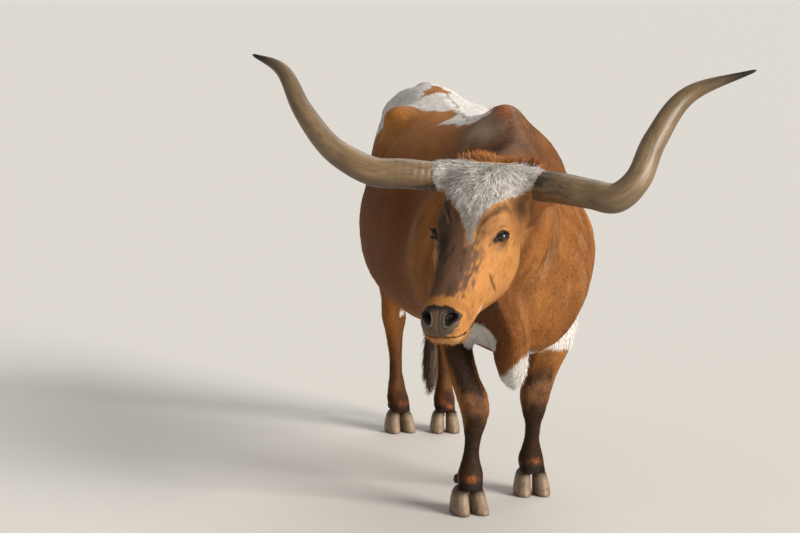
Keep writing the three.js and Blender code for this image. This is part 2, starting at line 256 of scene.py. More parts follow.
def arrays_of(mesh):
    """The points of a mesh in the body's frame, its triangles and its edges."""
    mesh.calc_loop_triangles()
    points = column(mesh.vertices, "co", 3, np.float32).astype(float) - WITHERS
    triangles = column(mesh.loop_triangles, "vertices", 3, np.int32)
    return points, triangles, column(mesh.edges, "vertices", 2, np.int32)


def normals_of(points, triangles):
    """Outward normals at the points of a mesh of triangles."""
    a, b, c = (points[triangles[:, k]] for k in range(3))
    flat = np.cross(b - a, c - a)
    total = np.zeros_like(points)
    for k in range(3):
        for axis in range(3):
            total[:, axis] += np.bincount(triangles[:, k], flat[:, axis], len(points))
    return unit(total)


def neighbours_of(edges, count):
    """For each point, its neighbours in one long list, where its own start, and how many."""
    both = np.concatenate((edges, edges[:, ::-1]))
    both = both[np.argsort(both[:, 0], kind="stable")]
    starts = np.searchsorted(both[:, 0], np.arange(count))
    return both[:, 1], starts, np.bincount(both[:, 0], minlength=count)[:, None]


def relaxed(points, edges, rate, passes):
    """Points moved towards their neighbours, each at its own rate."""
    near, starts, counts = neighbours_of(edges, len(points))
    rate = rate[:, None]
    for _ in range(passes):
        points = points + rate * (np.add.reduceat(points[near], starts) / counts - points)
    return points


def tube_faces(rings, around):
    """Quads between rings of points, with so many points around."""
    first = np.arange(rings - 1)[:, None] * around
    here, after = first + np.arange(around), first + (np.arange(around) + 1) % around
    return np.stack((here, here + around, after + around, after), 2).reshape(-1, 4)


def remeshed(mesh, step):
    """A new mesh of even quads over a closed mesh, which it takes the place of."""
    work = placed("work", mesh)
    modifier = work.modifiers.new("remesh", "REMESH")
    modifier.mode = "VOXEL"
    modifier.voxel_size = step
    evaluated = work.evaluated_get(bpy.context.evaluated_depsgraph_get())
    result = bpy.data.meshes.new_from_object(evaluated)
    bpy.data.objects.remove(work)
    bpy.data.meshes.remove(mesh)
    return result


# The skin: one surface over all the flesh

SKIN_STEP = 0.0116
FLESH_GROWTH, FLESH_CUTS = 0.0012, 3
SAME_PLACE = 1e-5


def flesh_mesh():
    """All the flesh nodes as one mesh, each grown a little so that they run into each other."""
    joined = bmesh.new()
    for name in FLESH:
        part = bmesh.new()
        part.from_mesh(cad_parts[name].data)
        bmesh.ops.remove_doubles(part, verts=part.verts, dist=SAME_PLACE)
        bmesh.ops.subdivide_edges(part, edges=part.edges, cuts=FLESH_CUTS, use_grid_fill=True)
        part.normal_update()
        for vertex in part.verts:
            vertex.co += vertex.normal * FLESH_GROWTH
        mesh = bpy.data.meshes.new("flesh_part")
        part.to_mesh(mesh)
        part.free()
        joined.from_mesh(mesh)
        bpy.data.meshes.remove(mesh)
    mesh = bpy.data.meshes.new("flesh")
    joined.to_mesh(mesh)
    joined.free()
    return mesh


def refined(mesh, chosen):
    """Cuts the mesh's edges in two inside a region. chosen takes points, and says which are in it."""
    work = bmesh.new()
    work.from_mesh(mesh)
    places = np.array([v.co for v in work.verts]) - WITHERS
    within = chosen(places)
    edges = [e for e in work.edges if within[e.verts[0].index] and within[e.verts[1].index]]
    bmesh.ops.subdivide_edges(work, edges=edges, cuts=1, use_grid_fill=True)
    work.to_mesh(mesh)
    work.free()


def head_share(points):
    """1 on the head, 0 from the neck on back."""
    side, down, out = head_places(points).T
    reach = np.maximum(-out - 150 - np.maximum(down, 0) * 0.45, -down - 40)
    return (1 - ease(0, 90, reach)) * (1 - ease(230, 300, np.abs(side)))


def leg_share(points):
    """1 on the legs, 0 from the elbows and stifles up."""
    hind = points[:, 1] > 0.75
    return 1 - ease(np.where(hind, 0.62, 0.52), np.where(hind, 0.86, 0.72), points[:, 2])


def tail_share(points):
    """1 on the tail, 0 elsewhere."""
    x, y, z = points.T
    behind = ease(1.355, 1.38, y) * (z < 1.2) * (np.abs(x - 0.03) < 0.062)
    return np.maximum(behind, ease(1.40, 1.43, y) * (z < 1.24))


def flips(places):
    """The signs that turn a place on the right side into one on the left."""
    return np.where(places[:, :1] < 0, (-1, 1, 1), (1, 1, 1))


def mirrored(places, middle_place=0):
    """Places measured from a point that both sides of the head have, as on the left side."""
    return places * flips(places) - middle_place


NOSTRIL = np.array((37.0, 531, -34))
MOUTH = ((0, 566, -86), (34, 562, -86), (60, 540, -98), (68, 500, -118), (72, 440, -142), (70, 408, -152))


def mouth_distance(places):
    """The distance to the line of the closed mouth, in millimetres."""
    return near_line(mirrored(places), MOUTH)


def fine_zone(points):
    """The head and the feet."""
    return (head_share(points) > 0.3) | (points[:, 2] < 0.2)


def finer_zone(points):
    """Round the eyes, and the muzzle with its nostrils and mouth."""
    places = head_places(points)
    return (np.linalg.norm(mirrored(places, EYE_PLACE), axis=1) < 52) | (places[:, 1] > 452)


def finest_zone(points):
    """The lids, the nostrils and the mouth."""
    places = head_places(points)
    lids = np.linalg.norm(mirrored(places, EYE_PLACE + (14, 3, 8)), axis=1) < 27
    nostrils = np.linalg.norm(mirrored(places, NOSTRIL), axis=1) < 27
    return lids | nostrils | (mouth_distance(places) < 7)


# Each finer zone, and how often the new points are moved towards their neighbours
ZONES = ((fine_zone, 8), (finer_zone, 6), (finest_zone, 4))
SOFTENING = 70


def base_skin():
    """The flesh as one smooth surface, softened most where the trunk, the neck and the legs meet."""
    mesh = remeshed(flesh_mesh(), SKIN_STEP)
    points, _, edges = arrays_of(mesh)
    firm = np.maximum(leg_share(points), tail_share(points))
    rate = 0.55 * (1 - firm) * (1 - head_share(points))
    rate = np.maximum(rate, 0.05 + 0.09 * head_share(points))
    soft = relaxed(points, edges, rate, SOFTENING)
    # What the softening took off the broad forms is given back
    set_points(mesh, soft + relaxed(points - soft, edges, rate, SOFTENING))
    for zone, passes in ZONES:
        refined(mesh, zone)
        points, triangles, edges = arrays_of(mesh)
        points = relaxed(points, edges, 0.5 * zone(points), passes)
        set_points(mesh, points)
    bpy.data.meshes.remove(mesh)
    return points, triangles


# The skin's relief: forms of flesh and bone, as mounds of a height in millimetres

# Place on the left side, radii (both in metres) and height
BODY_FORMS = (
    ((0.31, 0.24, 0.92), (0.12, 0.08, 0.24), -13),
    ((0.25, 0.05, 0.86), (0.09, 0.12, 0.13), 12),
    ((0.20, 0.10, 0.70), (0.07, 0.07, 0.07), 9),
    ((0.15, -0.20, 1.02), (0.09, 0.07, 0.20), -10),
    ((0.13, -0.02, 1.13), (0.08, 0.07, 0.14), 8),
    ((0.09, 0.30, 1.24), (0.07, 0.16, 0.05), -5),
    ((0.27, 0.84, 1.07), (0.10, 0.10, 0.11), -24),
    ((0.20, 0.93, 1.20), (0.07, 0.08, 0.06), 15),
    ((0.17, 1.12, 1.20), (0.08, 0.09, 0.08), -12),
    ((0.10, 1.34, 1.18), (0.05, 0.05, 0.05), 12),
    ((0.05, 1.30, 1.28), (0.03, 0.09, 0.05), -7),
    ((0.16, 1.33, 0.92), (0.05, 0.04, 0.20), -7),
    ((0.25, 1.00, 0.80), (0.08, 0.08, 0.12), 13),
    ((0.24, 0.82, 0.74), (0.06, 0.08, 0.12), 10),
    ((0.10, 1.36, 0.98), (0.06, 0.05, 0.16), 8),
    ((0.09, -0.16, 0.72), (0.05, 0.06, 0.09), 12),
    ((0.0, 0.02, 1.25), (0.05, 0.16, 0.05), 10),
    ((0.0, 0.55, 1.25), (0.025, 0.42, 0.06), 5),
)
# Place on the left side, radii and height, all in millimetres in the head's frame
HEAD_FORMS = (
    ((112, 112, -62), (26, 40, 26), -8),
    ((104, 262, -84), (16, 60, 16), 5),
    ((88, 292, -50), (20, 60, 24), -5),
    ((102, 170, -205), (40, 70, 50), 7),
    ((100, 262, -262), (40, 44, 26), 6),
    ((34, 350, -8), (14, 90, 20), 2.5),
    ((60, 385, -52), (20, 60, 26), -6),
    ((66, 402, -122), (16, 40, 24), -4),
    ((60, 498, -58), (22, 30, 30), 5),
    ((0, 120, 5), (50, 60, 30), 3),
    ((62, 178, -8), (18, 34, 16), 5),
    ((88, 148, -20), (14, 26, 14), 4),
    ((66, 452, -150), (24, 44, 26), 8),
    ((30, 520, -128), (34, 34, 24), 6),
)
RIBS_FROM, RIBS_TO, RIB_STEP = 0.32, 0.80, 0.062
NECK_FOLD_STEP, FLANK_FOLD_STEP = 0.062, 0.05
# How high the forms, the folds of the neck, those of the flank and the small unevenness stand
FORM_SCALE, NECK_FOLD_HEIGHT, FLANK_FOLD_HEIGHT, UNEVEN_HEIGHT = 2.1, 4.2, 2.5, 2.0


def neck_folds(points):
    """The folds of loose skin on the neck, from -1 in the hollows to 1, and how strong they are."""
    bent = shaken(points, 0.022, 0.26, 3)
    folds = waves(bent[:, 1] + 0.32 * bent[:, 2] - 0.5 * np.abs(bent[:, 0]), NECK_FOLD_STEP)
    loose = band(-0.44, 0.04, 0.06, points[:, 1]) * band(0.58, 1.06, 0.07, points[:, 2])
    return folds, loose * (1 - head_share(points)) * (0.5 + 0.5 * noise(points, 0.13, 12))


def body_relief(points):
    """How far the body's skin stands out at each point, in metres."""
    x, y, z = points.T
    left = points * flips(points)
    bent = shaken(points, 0.03, 0.2, 3)
    height = FORM_SCALE * sum(mound(left, place, radii) * tall for place, radii, tall in BODY_FORMS)
    ribbed = band(RIBS_FROM, RIBS_TO, 0.05, y) * band(0.72, 1.08, 0.09, z) * (np.abs(x) > 0.2)
    ribs = waves(bent[:, 1] - 0.18 * (bent[:, 2] - 0.9), RIB_STEP)
    height += ribs * (0.6 + 0.6 * noise(points, 0.2, 13)) * ribbed
    folds, loose = neck_folds(points)
    height += NECK_FOLD_HEIGHT * folds * loose
    creases = waves(bent[:, 1] + 0.9 * bent[:, 2], FLANK_FOLD_STEP)
    height += FLANK_FOLD_HEIGHT * creases * mound(left, (0.26, 0.76, 0.72), (0.09, 0.10, 0.16))
    height += UNEVEN_HEIGHT * layered(points, 0.09, 21) * (1 - head_share(points))
    return height * MM


# Each leg's middle, from the foot up: height, and place across and back
LEG_AXES = (
    ((0.06, -0.163, -0.160), (0.09, -0.161, -0.150), (0.125, -0.157, -0.134), (0.18, -0.155, -0.134),
     (0.24, -0.151, -0.141), (0.30, -0.147, -0.152), (0.35, -0.149, -0.158), (0.41, -0.172, -0.149),
     (0.50, -0.196, -0.130), (0.60, -0.206, -0.095), (0.78, -0.184, -0.040)),
    ((0.06, 0.101, 0.076), (0.09, 0.100, 0.082), (0.125, 0.098, 0.090), (0.18, 0.098, 0.080),
     (0.24, 0.098, 0.063), (0.30, 0.095, 0.046), (0.35, 0.098, 0.040), (0.41, 0.122, 0.049),
     (0.50, 0.154, 0.066), (0.60, 0.178, 0.089), (0.78, 0.180, 0.110)),
    ((0.06, -0.101, 1.242), (0.09, -0.102, 1.256), (0.13, -0.104, 1.284), (0.20, -0.106, 1.298),
     (0.29, -0.106, 1.314), (0.36, -0.106, 1.326), (0.42, -0.108, 1.330), (0.48, -0.116, 1.325),
     (0.56, -0.134, 1.274), (0.66, -0.154, 1.204), (0.78, -0.156, 1.160)),
    ((0.06, 0.064, 1.208), (0.09, 0.065, 1.222), (0.13, 0.068, 1.250), (0.20, 0.072, 1.266),
     (0.29, 0.076, 1.284), (0.36, 0.080, 1.296), (0.42, 0.086, 1.300), (0.48, 0.098, 1.295),
     (0.56, 0.122, 1.248), (0.66, 0.148, 1.190), (0.78, 0.154, 1.150)),
)


def leg_places(points):
    """Each point's leg, its angle round the leg (0 in front, positive outwards) and its distance from it."""
    x, y, z = points.T
    leg = np.where(y > 0.6, 2, 0) + (x > 0)
    angle, reach = np.zeros((2, len(points)))
    for k, axis in enumerate(LEG_AXES):
        own = leg == k
        height, across, back = np.transpose(axis)
        off_x = (x[own] - np.interp(z[own], height, across)) * (1 if k % 2 else -1)
        off_y = np.interp(z[own], height, back) - y[own]
        angle[own], reach[own] = np.arctan2(off_x, off_y), np.hypot(off_x, off_y)
    return leg, angle, reach


# Height on the leg, angle from the front (positive outwards), reach of both, and how far out in millimetres
FORELEG_FORMS = (
    (0.345, 0.45, 0.028, 0.45, 5),
    (0.345, -0.5, 0.028, 0.45, 5),
    (0.305, 0.0, 0.018, 0.7, 4),
    (0.385, 0.0, 0.02, 0.5, -3),
    (0.335, 3.0, 0.035, 0.5, 7),
    (0.22, 1.9, 0.07, 0.35, -4.5),
    (0.22, -1.9, 0.07, 0.35, -4.5),
    (0.22, 0.0, 0.07, 0.5, 2),
    (0.50, 1.1, 0.07, 0.5, 5),
    (0.48, 2.1, 0.08, 0.35, -5),
    (0.48, -0.5, 0.10, 0.4, -4),
    (0.125, 1.4, 0.025, 0.7, 4),
    (0.125, -1.4, 0.025, 0.7, 4),
    (0.088, 0.0, 0.014, 0.8, -3),
)
HINDLEG_FORMS = (
    (0.475, 3.1, 0.03, 0.45, 9),
    (0.56, 2.3, 0.06, 0.4, -9),
    (0.56, -2.3, 0.06, 0.4, -9),
    (0.42, 1.2, 0.03, 0.5, 5),
    (0.42, -1.2, 0.03, 0.5, 5),
    (0.39, 0.0, 0.03, 0.5, 3),
    (0.25, 1.9, 0.08, 0.35, -5),
    (0.25, -1.9, 0.08, 0.35, -5),
    (0.66, 1.3, 0.06, 0.6, 7),
    (0.125, 1.4, 0.025, 0.7, 4),
    (0.125, -1.4, 0.025, 0.7, 4),
    (0.088, 0.0, 0.014, 0.8, -3),
)


KNEE_LINE_STEP = 0.016


def leg_relief(points):
    """Knees, hocks, tendons and fetlocks, in metres."""
    leg, angle, _ = leg_places(points)
    z = points[:, 2]
    height = np.zeros(len(points))
    for forms, own in ((FORELEG_FORMS, leg < 2), (HINDLEG_FORMS, leg >= 2)):
        for at, turn, tall, wide, out in forms:
            off = np.abs((angle - turn + math.pi) % TURN - math.pi)
            height += own * out * np.exp(-(((z - at) / tall) ** 2) - (off / wide) ** 2)
    knee = (leg < 2) * band(0.29, 0.39, 0.02, z) * (np.abs(angle) < 1.3)
    lines = np.cos(z * TURN / KNEE_LINE_STEP + 2 * noise(points, 0.03, 31))
    height += 1.1 * knee * lines * (0.4 + noise(points, 0.03, 33))
    return height * MM * (1 - ease(0.6, 0.74, z))


# The eye's opening, on the left side: the gaze, the way to the outer corner and the way up to the brow
GAZE = unit((0.78, 0.18, 0.60))
OUTER_CORNER = np.array((0.38, -0.78, -0.49))
FISSURE = unit(OUTER_CORNER - GAZE * (OUTER_CORNER @ GAZE))
BROW = np.cross(FISSURE, GAZE)
EYE_RADIUS = 21.0 / HEAD_SCALE
LID_HALF, LID_UPPER, LID_LOWER = 22.0, 9.6, 8.0


def eye_frame(places):
    """Along the opening, up to the brow and out along the gaze, and the distance from the opening's edge."""
    along, up, out = (mirrored(places, EYE_PLACE) @ axis for axis in (FISSURE, BROW, GAZE))
    half = np.where(up > 0, LID_UPPER, LID_LOWER)
    e = (along / LID_HALF) ** 2 + (np.abs(up) / half) ** 1.15
    edge = (np.maximum(e, 0) ** 0.62 - 1) * 14
    return along, up, out, edge


def lids(places):
    """Moves the skin round the eyes onto the eyeballs, with an upper and a lower lid."""
    along, up, out, edge = eye_frame(places)
    reach = np.hypot(along, up)
    side_reach = EYE_RADIUS * 0.9
    ball = np.sqrt(np.maximum(EYE_RADIUS**2 - np.minimum(reach, side_reach) ** 2, 0))
    ball -= np.maximum(reach - side_reach, 0) * 0.5
    rim = 1.3 + 1.6 * ease(0, 4, edge) + 1.0 * (up > 0) * ease(1, 6, edge)
    crease = -1.6 * bell(edge, 8.5, 1.7) * ease(-4, 4, up)
    crease -= 1.2 * bell(edge, 8, 1.6) * ease(3, -4, up) * ease(-16, 0, along)
    crease -= 1.0 * bell(edge, 15, 2.2) * ease(0, 8, up)
    target = ball + np.where(edge < -0.6, -4.5, rim + crease)
    at_eye = (out > -4) * (reach < 60)
    moved = np.where(edge < 0, 1, 1 - ease(5, 24, edge)) * at_eye * (target - out)
    return places + moved[:, None] * GAZE * flips(places)


NOSTRIL_LONG = unit((0.70, -0.70, 0.12))
NOSTRIL_OUT = unit((0.42, 0.72, 0.55))
NOSTRIL_ACROSS = np.cross(NOSTRIL_LONG, NOSTRIL_OUT)
# The share that stands for a place behind or in front of the nostril
FAR_OFF = 9


def nostril_share(places):
    """Places in each nostril, as a share of its size: under 1 inside the opening."""
    off = mirrored(places, NOSTRIL)
    along, across, out = off @ NOSTRIL_LONG, off @ NOSTRIL_ACROSS, off @ NOSTRIL_OUT
    size = np.hypot(along / 23, (across + 0.012 * along**2 - 2) / 12.5)
    return np.where(np.abs(out) < 26, size, FAR_OFF)


MUZZLE_MIDDLE = (0, 430, -85)


def muzzle(places):
    """Nostrils, the groove of the pad and the mouth."""
    side, down, out = places.T
    size = nostril_share(places)
    depth = -17 * (1 - ease(0.35, 1.0, size)) + 2.4 * bell(size, 1.22, 0.2)
    places = places + depth[:, None] * NOSTRIL_OUT * flips(places)
    groove = -2.6 * bell(side, 0, 2.6) * ease(500, 520, down) * (out > -84)
    cleft = mouth_distance(places)
    lip = -5.0 * bell(cleft, 0, 3.2) + 2.2 * bell(cleft, 9, 5)
    return places + (groove + lip)[:, None] * unit(places - MUZZLE_MIDDLE)


EAR_ROOT = np.array((104.0, 70, -98))
EAR_ALONG = unit((57, -158, -130))
EAR_FACE = unit((0.911, 0, 0.40))
EAR_ACROSS = np.cross(EAR_ALONG, EAR_FACE)


EAR_HOLLOW = 11


def ear_places(places):
    """Along the ear, across it and out of its hollow side, and 1 on the ear."""
    off = mirrored(places, EAR_ROOT)
    along, across, out = off @ EAR_ALONG, off @ EAR_ACROSS, off @ EAR_FACE
    share = ease(30, 70, along) * (np.abs(out) < 30) * (np.abs(across) < 56) * (along < 240)
    return along, across, out, share


def head_relief(places, normals):
    """The head's skin moved out and in, in the head's frame."""
    both = mirrored(places)
    height = sum(mound(both, place, radii) * tall for place, radii, tall in HEAD_FORMS)
    height += 0.5 * layered(places, 26, 41)
    gap = near_line(both[:, :2], BROW_LINE)
    height += (1.4 * bell(gap, 9, 5) - 2.2 * bell(gap, 0, 4)) * (places[:, 2] > -60)
    along, across, _, on_ear = ear_places(places)
    hollow = ease(0.15, 0.6, normals * flips(places) @ EAR_FACE) * on_ear * bell(across, 0, 24)
    height -= EAR_HOLLOW * hollow * band(40, 178, 22, along)
    return places + height[:, None] * normals


# How far the skin lies inside the solids, which reach out to the coat's tips
COAT_DEPTH = 4.5 * MM
FACE_DEPTH = 2.2 * MM


def coat_depth(points):
    """How deep the coat is at each place, in metres."""
    thin = np.maximum(head_share(points), 1 - ease(0.10, 0.5, points[:, 2]))
    return COAT_DEPTH + (FACE_DEPTH - COAT_DEPTH) * thin


def shaped_skin():
    """The skin's points with all its relief, its triangles and its normals."""
    points, triangles = base_skin()
    normals = normals_of(points, triangles)
    on_body = 1 - head_share(points)
    relief = on_body * body_relief(points) + leg_relief(points) - coat_depth(points)
    points = points + relief[:, None] * normals
    own = head_share(points) > 0.02
    places = head_places(points[own])
    shaped = muzzle(lids(head_relief(places, normals[own] @ HEAD_AXES.T)))
    points[own] = on_head(lay(places, shaped, head_share(points[own])))
    return points, triangles, normals_of(points, triangles)


# The markings, which the skin and the coat share


def linear(code):
    """A colour written as six hexadecimal digits, in linear light."""
    value = np.array([int(code[k : k + 2], 16) for k in (0, 2, 4)]) / 255
    return np.where(value <= 0.04045, value / 12.92, ((value + 0.055) / 1.055) ** 2.4)


TONES = {
    name: linear(code)
    for name, code in {
        "chestnut": "8a5426", "orange": "b3763c", "bright": "ba844b", "deep": "5e3417", "smoke": "4a352b",
        "ash": "86705f", "bridge": "5b4335", "black": "1c1613", "leg": "171312", "knee": "5e4234",
        "crest": "c4703a", "white": "e6e2dd", "grey": "968c84", "tan": "a68460", "pad": "5a493b",
        "lip": "e2b47c", "gum": "d9c4b4",
    }.items()
}
BLAZE = [
    (-178, 4), (-150, 22), (-125, 32), (-88, 80), (-52, 124), (-30, 152), (-14, 178), (8, 214),
    (21, 236), (28, 262), (32, 278), (36, 256), (36, 212), (50, 165), (62, 118), (91, 78), (128, 34),
    (160, 22), (196, 14), (196, -64), (120, -54), (60, -46), (20, -44), (-40, -46), (-70, -56),
    (-178, -76),
]
BRIDGE = [
    (-118, 60), (-55, 128), (-16, 176), (14, 224), (31, 284), (42, 225), (56, 185), (60, 260),
    (56, 356), (52, 428), (34, 466), (-36, 478), (-66, 440), (-74, 330), (-86, 240), (-104, 150),
    (-128, 80),
]
PAD = [
    (-30, 500), (0, 503), (30, 500), (50, 504), (60, 522), (58, 542), (42, 560), (20, 570), (-20, 570),
    (-42, 560), (-58, 542), (-60, 522), (-50, 504),
]
BROW_LINE = ((50, 193), (62, 168), (74, 148), (86, 127), (98, 107))
SCRATCH = ((88, 318), (90, 332))
# On the back and rump, seen from above
RUMP_PATCH = [
    (-0.21, 1.36), (-0.20, 1.22), (-0.174, 1.14), (-0.145, 1.12), (-0.147, 0.97), (-0.123, 0.94),
    (-0.095, 0.85), (-0.04, 0.80), (-0.001, 0.78), (-0.012, 0.68), (-0.05, 0.60), (-0.115, 0.52),
    (-0.095, 0.42), (-0.087, 0.29), (-0.067, 0.19), (-0.046, 0.07), (-0.005, 0.16), (0.03, 0.30),
    (0.035, 0.50), (0.10, 0.66), (0.15, 0.86), (0.20, 1.02), (0.21, 1.20), (0.20, 1.38), (0.0, 1.44),
]
RUMP_ISLAND = [(-0.075, 1.01), (-0.03, 1.10), (0.023, 1.157), (0.05, 1.052), (0.02, 1.03)]
SPINE = ((0.013, 1.12), (0.027, 0.9), (-0.01, 0.6), (-0.053, 0.326))
HIND_SPOT = (-0.085, 1.286, 0.447)
# On the left leg's outside, in its distance back and height
ELBOW_BAND = [
    (-0.03, 0.50), (0.02, 0.56), (0.06, 0.62), (0.13, 0.66), (0.17, 0.60), (0.12, 0.54), (0.05, 0.47),
]


def body_colours(points, normals):
    """The body's colours, and its share of white."""
    x, y, z = points.T
    fine = layered(points * (1, 0.45, 0.6), 0.018, 51)
    broad = layered(points, 0.16, 61)
    streak = layered(points * (1, 0.35, 0.45), 0.045, 71)
    colour = lay("chestnut", "orange", 0.35 + 0.5 * broad + 0.2 * streak)
    colour = lay(colour, "deep", 0.42 * ease(0.1, 0.8, streak) + 0.25 * ease(0.05, 0.9, -broad))
    colour = colour * (1 + 0.16 * fine)[:, None]
    # Painted shade and light: the right flank, away from the key light, is painted darker, partly its own
    # deeper brown and partly painted shade; its top and the low barrel are painted lighter, partly their own
    # tone and partly painted light
    right_flank_tone_and_shade = ease(0.05, -0.1, x) * band(0.12, 1.1, 0.15, y) * band(0.60, 1.06, 0.12, z)
    upper = (x < 0.05) * band(0.1, 1.2, 0.15, y) * ease(1.05, 1.17, z)
    under = ease(0.62, 0.5, z) * (y > 0.1) * (y < 0.9)
    colour = lay_all(colour, ("deep", 0.8 * right_flank_tone_and_shade), ("orange", 0.55 * upper), ("orange", 0.3 * under))
    # Painted shade on the breast and the lower neck
    colour = colour * (1 - 0.22 * ease(0.95, 0.7, z) * ease(0.3, 0.0, y))[:, None]
    # Smoky dark hair on the neck and the withers, with an orange crest along the top; painted shade and
    # painted light are laid over them too
    folds, loose = neck_folds(points)
    smoke = band(-0.62, 0.16, 0.14, y - 0.4 * np.maximum(z - 1.05, 0)) * ease(0.88, 1.12, z)
    # On the right side, away from the key light, the smoky tone is laid on more strongly and turns deep
    # brown: painted shade
    smoke *= 0.75 + 0.5 * streak + 0.3 * (x < 0)
    smoke_and_right_shade = lay("smoke", "deep", ease(-0.10, -0.22, x))
    ashy = ease(0.05, 0.6, layered(points * (1, 0.3, 0.5), 0.07, 72))
    ashy *= band(-0.34, 0.12, 0.06, y) * ease(1.06, 1.16, z) * (x < 0.06)
    # Painted sheen: a pale patch over the top of the withers
    withers_sheen = mound(points, (-0.075, 0.02, 1.20), (0.06, 0.12, 0.06))
    # Painted shade under the head, on the right side of the throat
    throat_shade = band(-0.5, -0.1, 0.08, y) * ease(0.92, 0.7, z) * ease(0.03, -0.06, x + 0.06)
    shoulder = mound(points, (0.22, 0.02, 0.78), (0.2, 0.22, 0.26))
    dark = np.maximum(layered(points * (1, 1, 0.3), 0.06, 81), 0)
    dark *= band(-0.35, 0.15, 0.1, y) * band(0.6, 1.0, 0.1, z)
    light = ease(0.25, 0.9, layered(points * (1, 1, 0.3), 0.05, 82)) * (x > -0.12)
    light *= band(-0.44, 0.12, 0.08, y) * band(0.66, 1.04, 0.1, z)
    crest = ease(0.045, 0.010, np.abs(x + 0.012 + 0.02 * streak)) * band(-0.05, 0.10, 0.05, y) * (z > 1.15)
    colour = lay_all(
        colour,
        # Painted shade in the hollows of the neck's folds, and painted light on their ridges on the lit side
        ("deep", 0.45 * ease(0.0, 0.9, -folds) * loose),
        ("tan", 0.28 * ease(0.2, 1.0, folds) * loose * (x > -0.2)),
        (smoke_and_right_shade, 0.68 * smoke),
        ("ash", 0.75 * ashy),
        (TONES["ash"] * 1.8, (1.0 + 0.6 * streak) * withers_sheen),
        ("deep", 0.8 * throat_shade),
        ("chestnut", 0.6 * shoulder * (0.6 + 0.7 * streak)),
        (smoke_and_right_shade, 0.8 * dark),
        ("tan", 0.6 * light),
        ("crest", 0.6 * crest * (0.7 + 0.6 * streak)),
    )
    colour = lay(colour, leg_colours(points, colour), 1 - ease(0.55, 0.66, z))
    # The white: the rump and back, a hind leg's spot, the elbow, the chest, the dewlap's tip and the belly
    torn = shaken(points, 0.012, 0.03, 91)
    top = ease(0.93, 1.03, z) * ease(-0.05, 0.2, normals[:, 2] + 0.4 * (y > 1.1))
    behind = ease(1.33, 1.37, y) * ease(1.05, 1.10, z + 0.06 * layered(points, 0.07, 95))
    behind *= ease(0.19, 0.16, np.abs(x))
    rump = np.maximum(inside(torn[:, :2], RUMP_PATCH, 0.007) * top, behind)
    rump *= 1 - inside(torn[:, :2], RUMP_ISLAND, 0.005) * top
    rump *= 1 - 0.75 * ease(0.72, 0.9, noise(points, 0.014, 96)) * band(0.1, 1.0, 0.1, y)
    spot = ease(0.019, 0.013, np.linalg.norm(torn - HIND_SPOT, axis=1)) * (y > 1.1)
    elbow = inside(torn[:, 1:], ELBOW_BAND, 0.008) * (x > 0.1)
    chest = mound(torn, (-0.145, -0.19, 0.56), (0.060, 0.12, 0.050)) > 0.45
    tip = ease(0.530, 0.505, torn[:, 2] - 1.5 * np.minimum(x + 0.045, 0)) * ease(0.40, 0.43, z)
    tip *= ease(-0.16, -0.20, y) * ease(0.09, 0.07, np.abs(x + 0.04))
    tip = np.maximum(tip, ease(0.44, 0.42, z) * ease(-0.17, -0.2, y) * ease(0.06, 0.04, np.abs(x + 0.034)))
    belly = band(0.15, 0.8, 0.1, y) * ease(-0.75, -0.92, normals[:, 2]) * (np.abs(x + 0.02) < 0.11)
    white = np.max([rump, spot, elbow, chest * 0.9, tip, belly * 0.8], axis=0)
    spine = ease(0.0065, 0.003, near_line(torn[:, :2], SPINE)) * top
    pale = lay("white", "grey", 0.16 + 0.2 * fine + 0.12 * broad)
    return lay_all(colour, (pale, white), ("bridge", 0.5 * spine)), white


PASTERN_SPOTS = (
    (-0.159, -0.190, 0.116), (0.102, 0.040, 0.116), (-0.098, 1.21, 0.112), (0.084, 1.175, 0.102),
)


def leg_colours(points, under):
    """The legs' colours, laid over what is under them: black fronts with brown edges, and pale knees."""
    z = points[:, 2]
    leg, angle, reach = leg_places(points)
    fore = leg < 2
    turn = np.abs(angle) + 0.35 * noise(points, 0.06, 101)
    front = ease(1.30, 0.60, turn - 0.5 * band(0.12, 0.28, 0.03, z))
    low = 1 - ease(0.50, 0.62, z + 0.05 * noise(points, 0.08, 102))
    base = lay("chestnut", TONES["orange"] * 0.82, 0.55 + 0.4 * noise(points, 0.05, 103))
    high = z + 0.03 * noise(points, 0.04, 108)
    dark = np.where(fore, front, 0.5 * front + 0.2) * (1 - 0.6 * band(0.30, 0.39, 0.035, high) * fore)
    dark *= np.where(fore, low, 1 - ease(0.20, 0.44, z))
    dark *= 1.2 + 0.5 * layered(points * (1, 1, 0.5), 0.03, 104)
    dark *= 1 - 0.75 * (leg == 1) * ease(0.38, 0.46, z)
    knee = fore * band(0.30, 0.39, 0.03, high) * ease(1.5, 1.0, turn)
    # Painted shade on the inner side of the hind legs, between them
    hind_inner_shade = (~fore) * ease(0.6, -0.6, np.sin(angle)) * band(0.1, 0.5, 0.08, z)
    coronet = band(0.082, 0.106, 0.006, z + 0.004 * noise(points, 0.02, 106))
    colour = lay_all(
        under,
        (base, low * np.where(fore, 0.9, 0.35)),
        ("leg", 0.92 * np.clip(dark, 0, 1)),
        ("knee", 0.6 * knee * (0.7 + 0.5 * layered(points, 0.02, 105))),
        (TONES["deep"] * 0.7, 0.6 * hind_inner_shade),
        ("black", 0.9 * coronet),
    )
    patchy = 0.8 + 0.9 * noise(points, 0.010, 107)
    for place in PASTERN_SPOTS:
        colour = lay(colour, "crest", 0.5 * mound(points, place, (0.022, 0.028, 0.009)) * patchy)
    return lay(under, colour, 1 - ease(0.10, 0.135, reach))


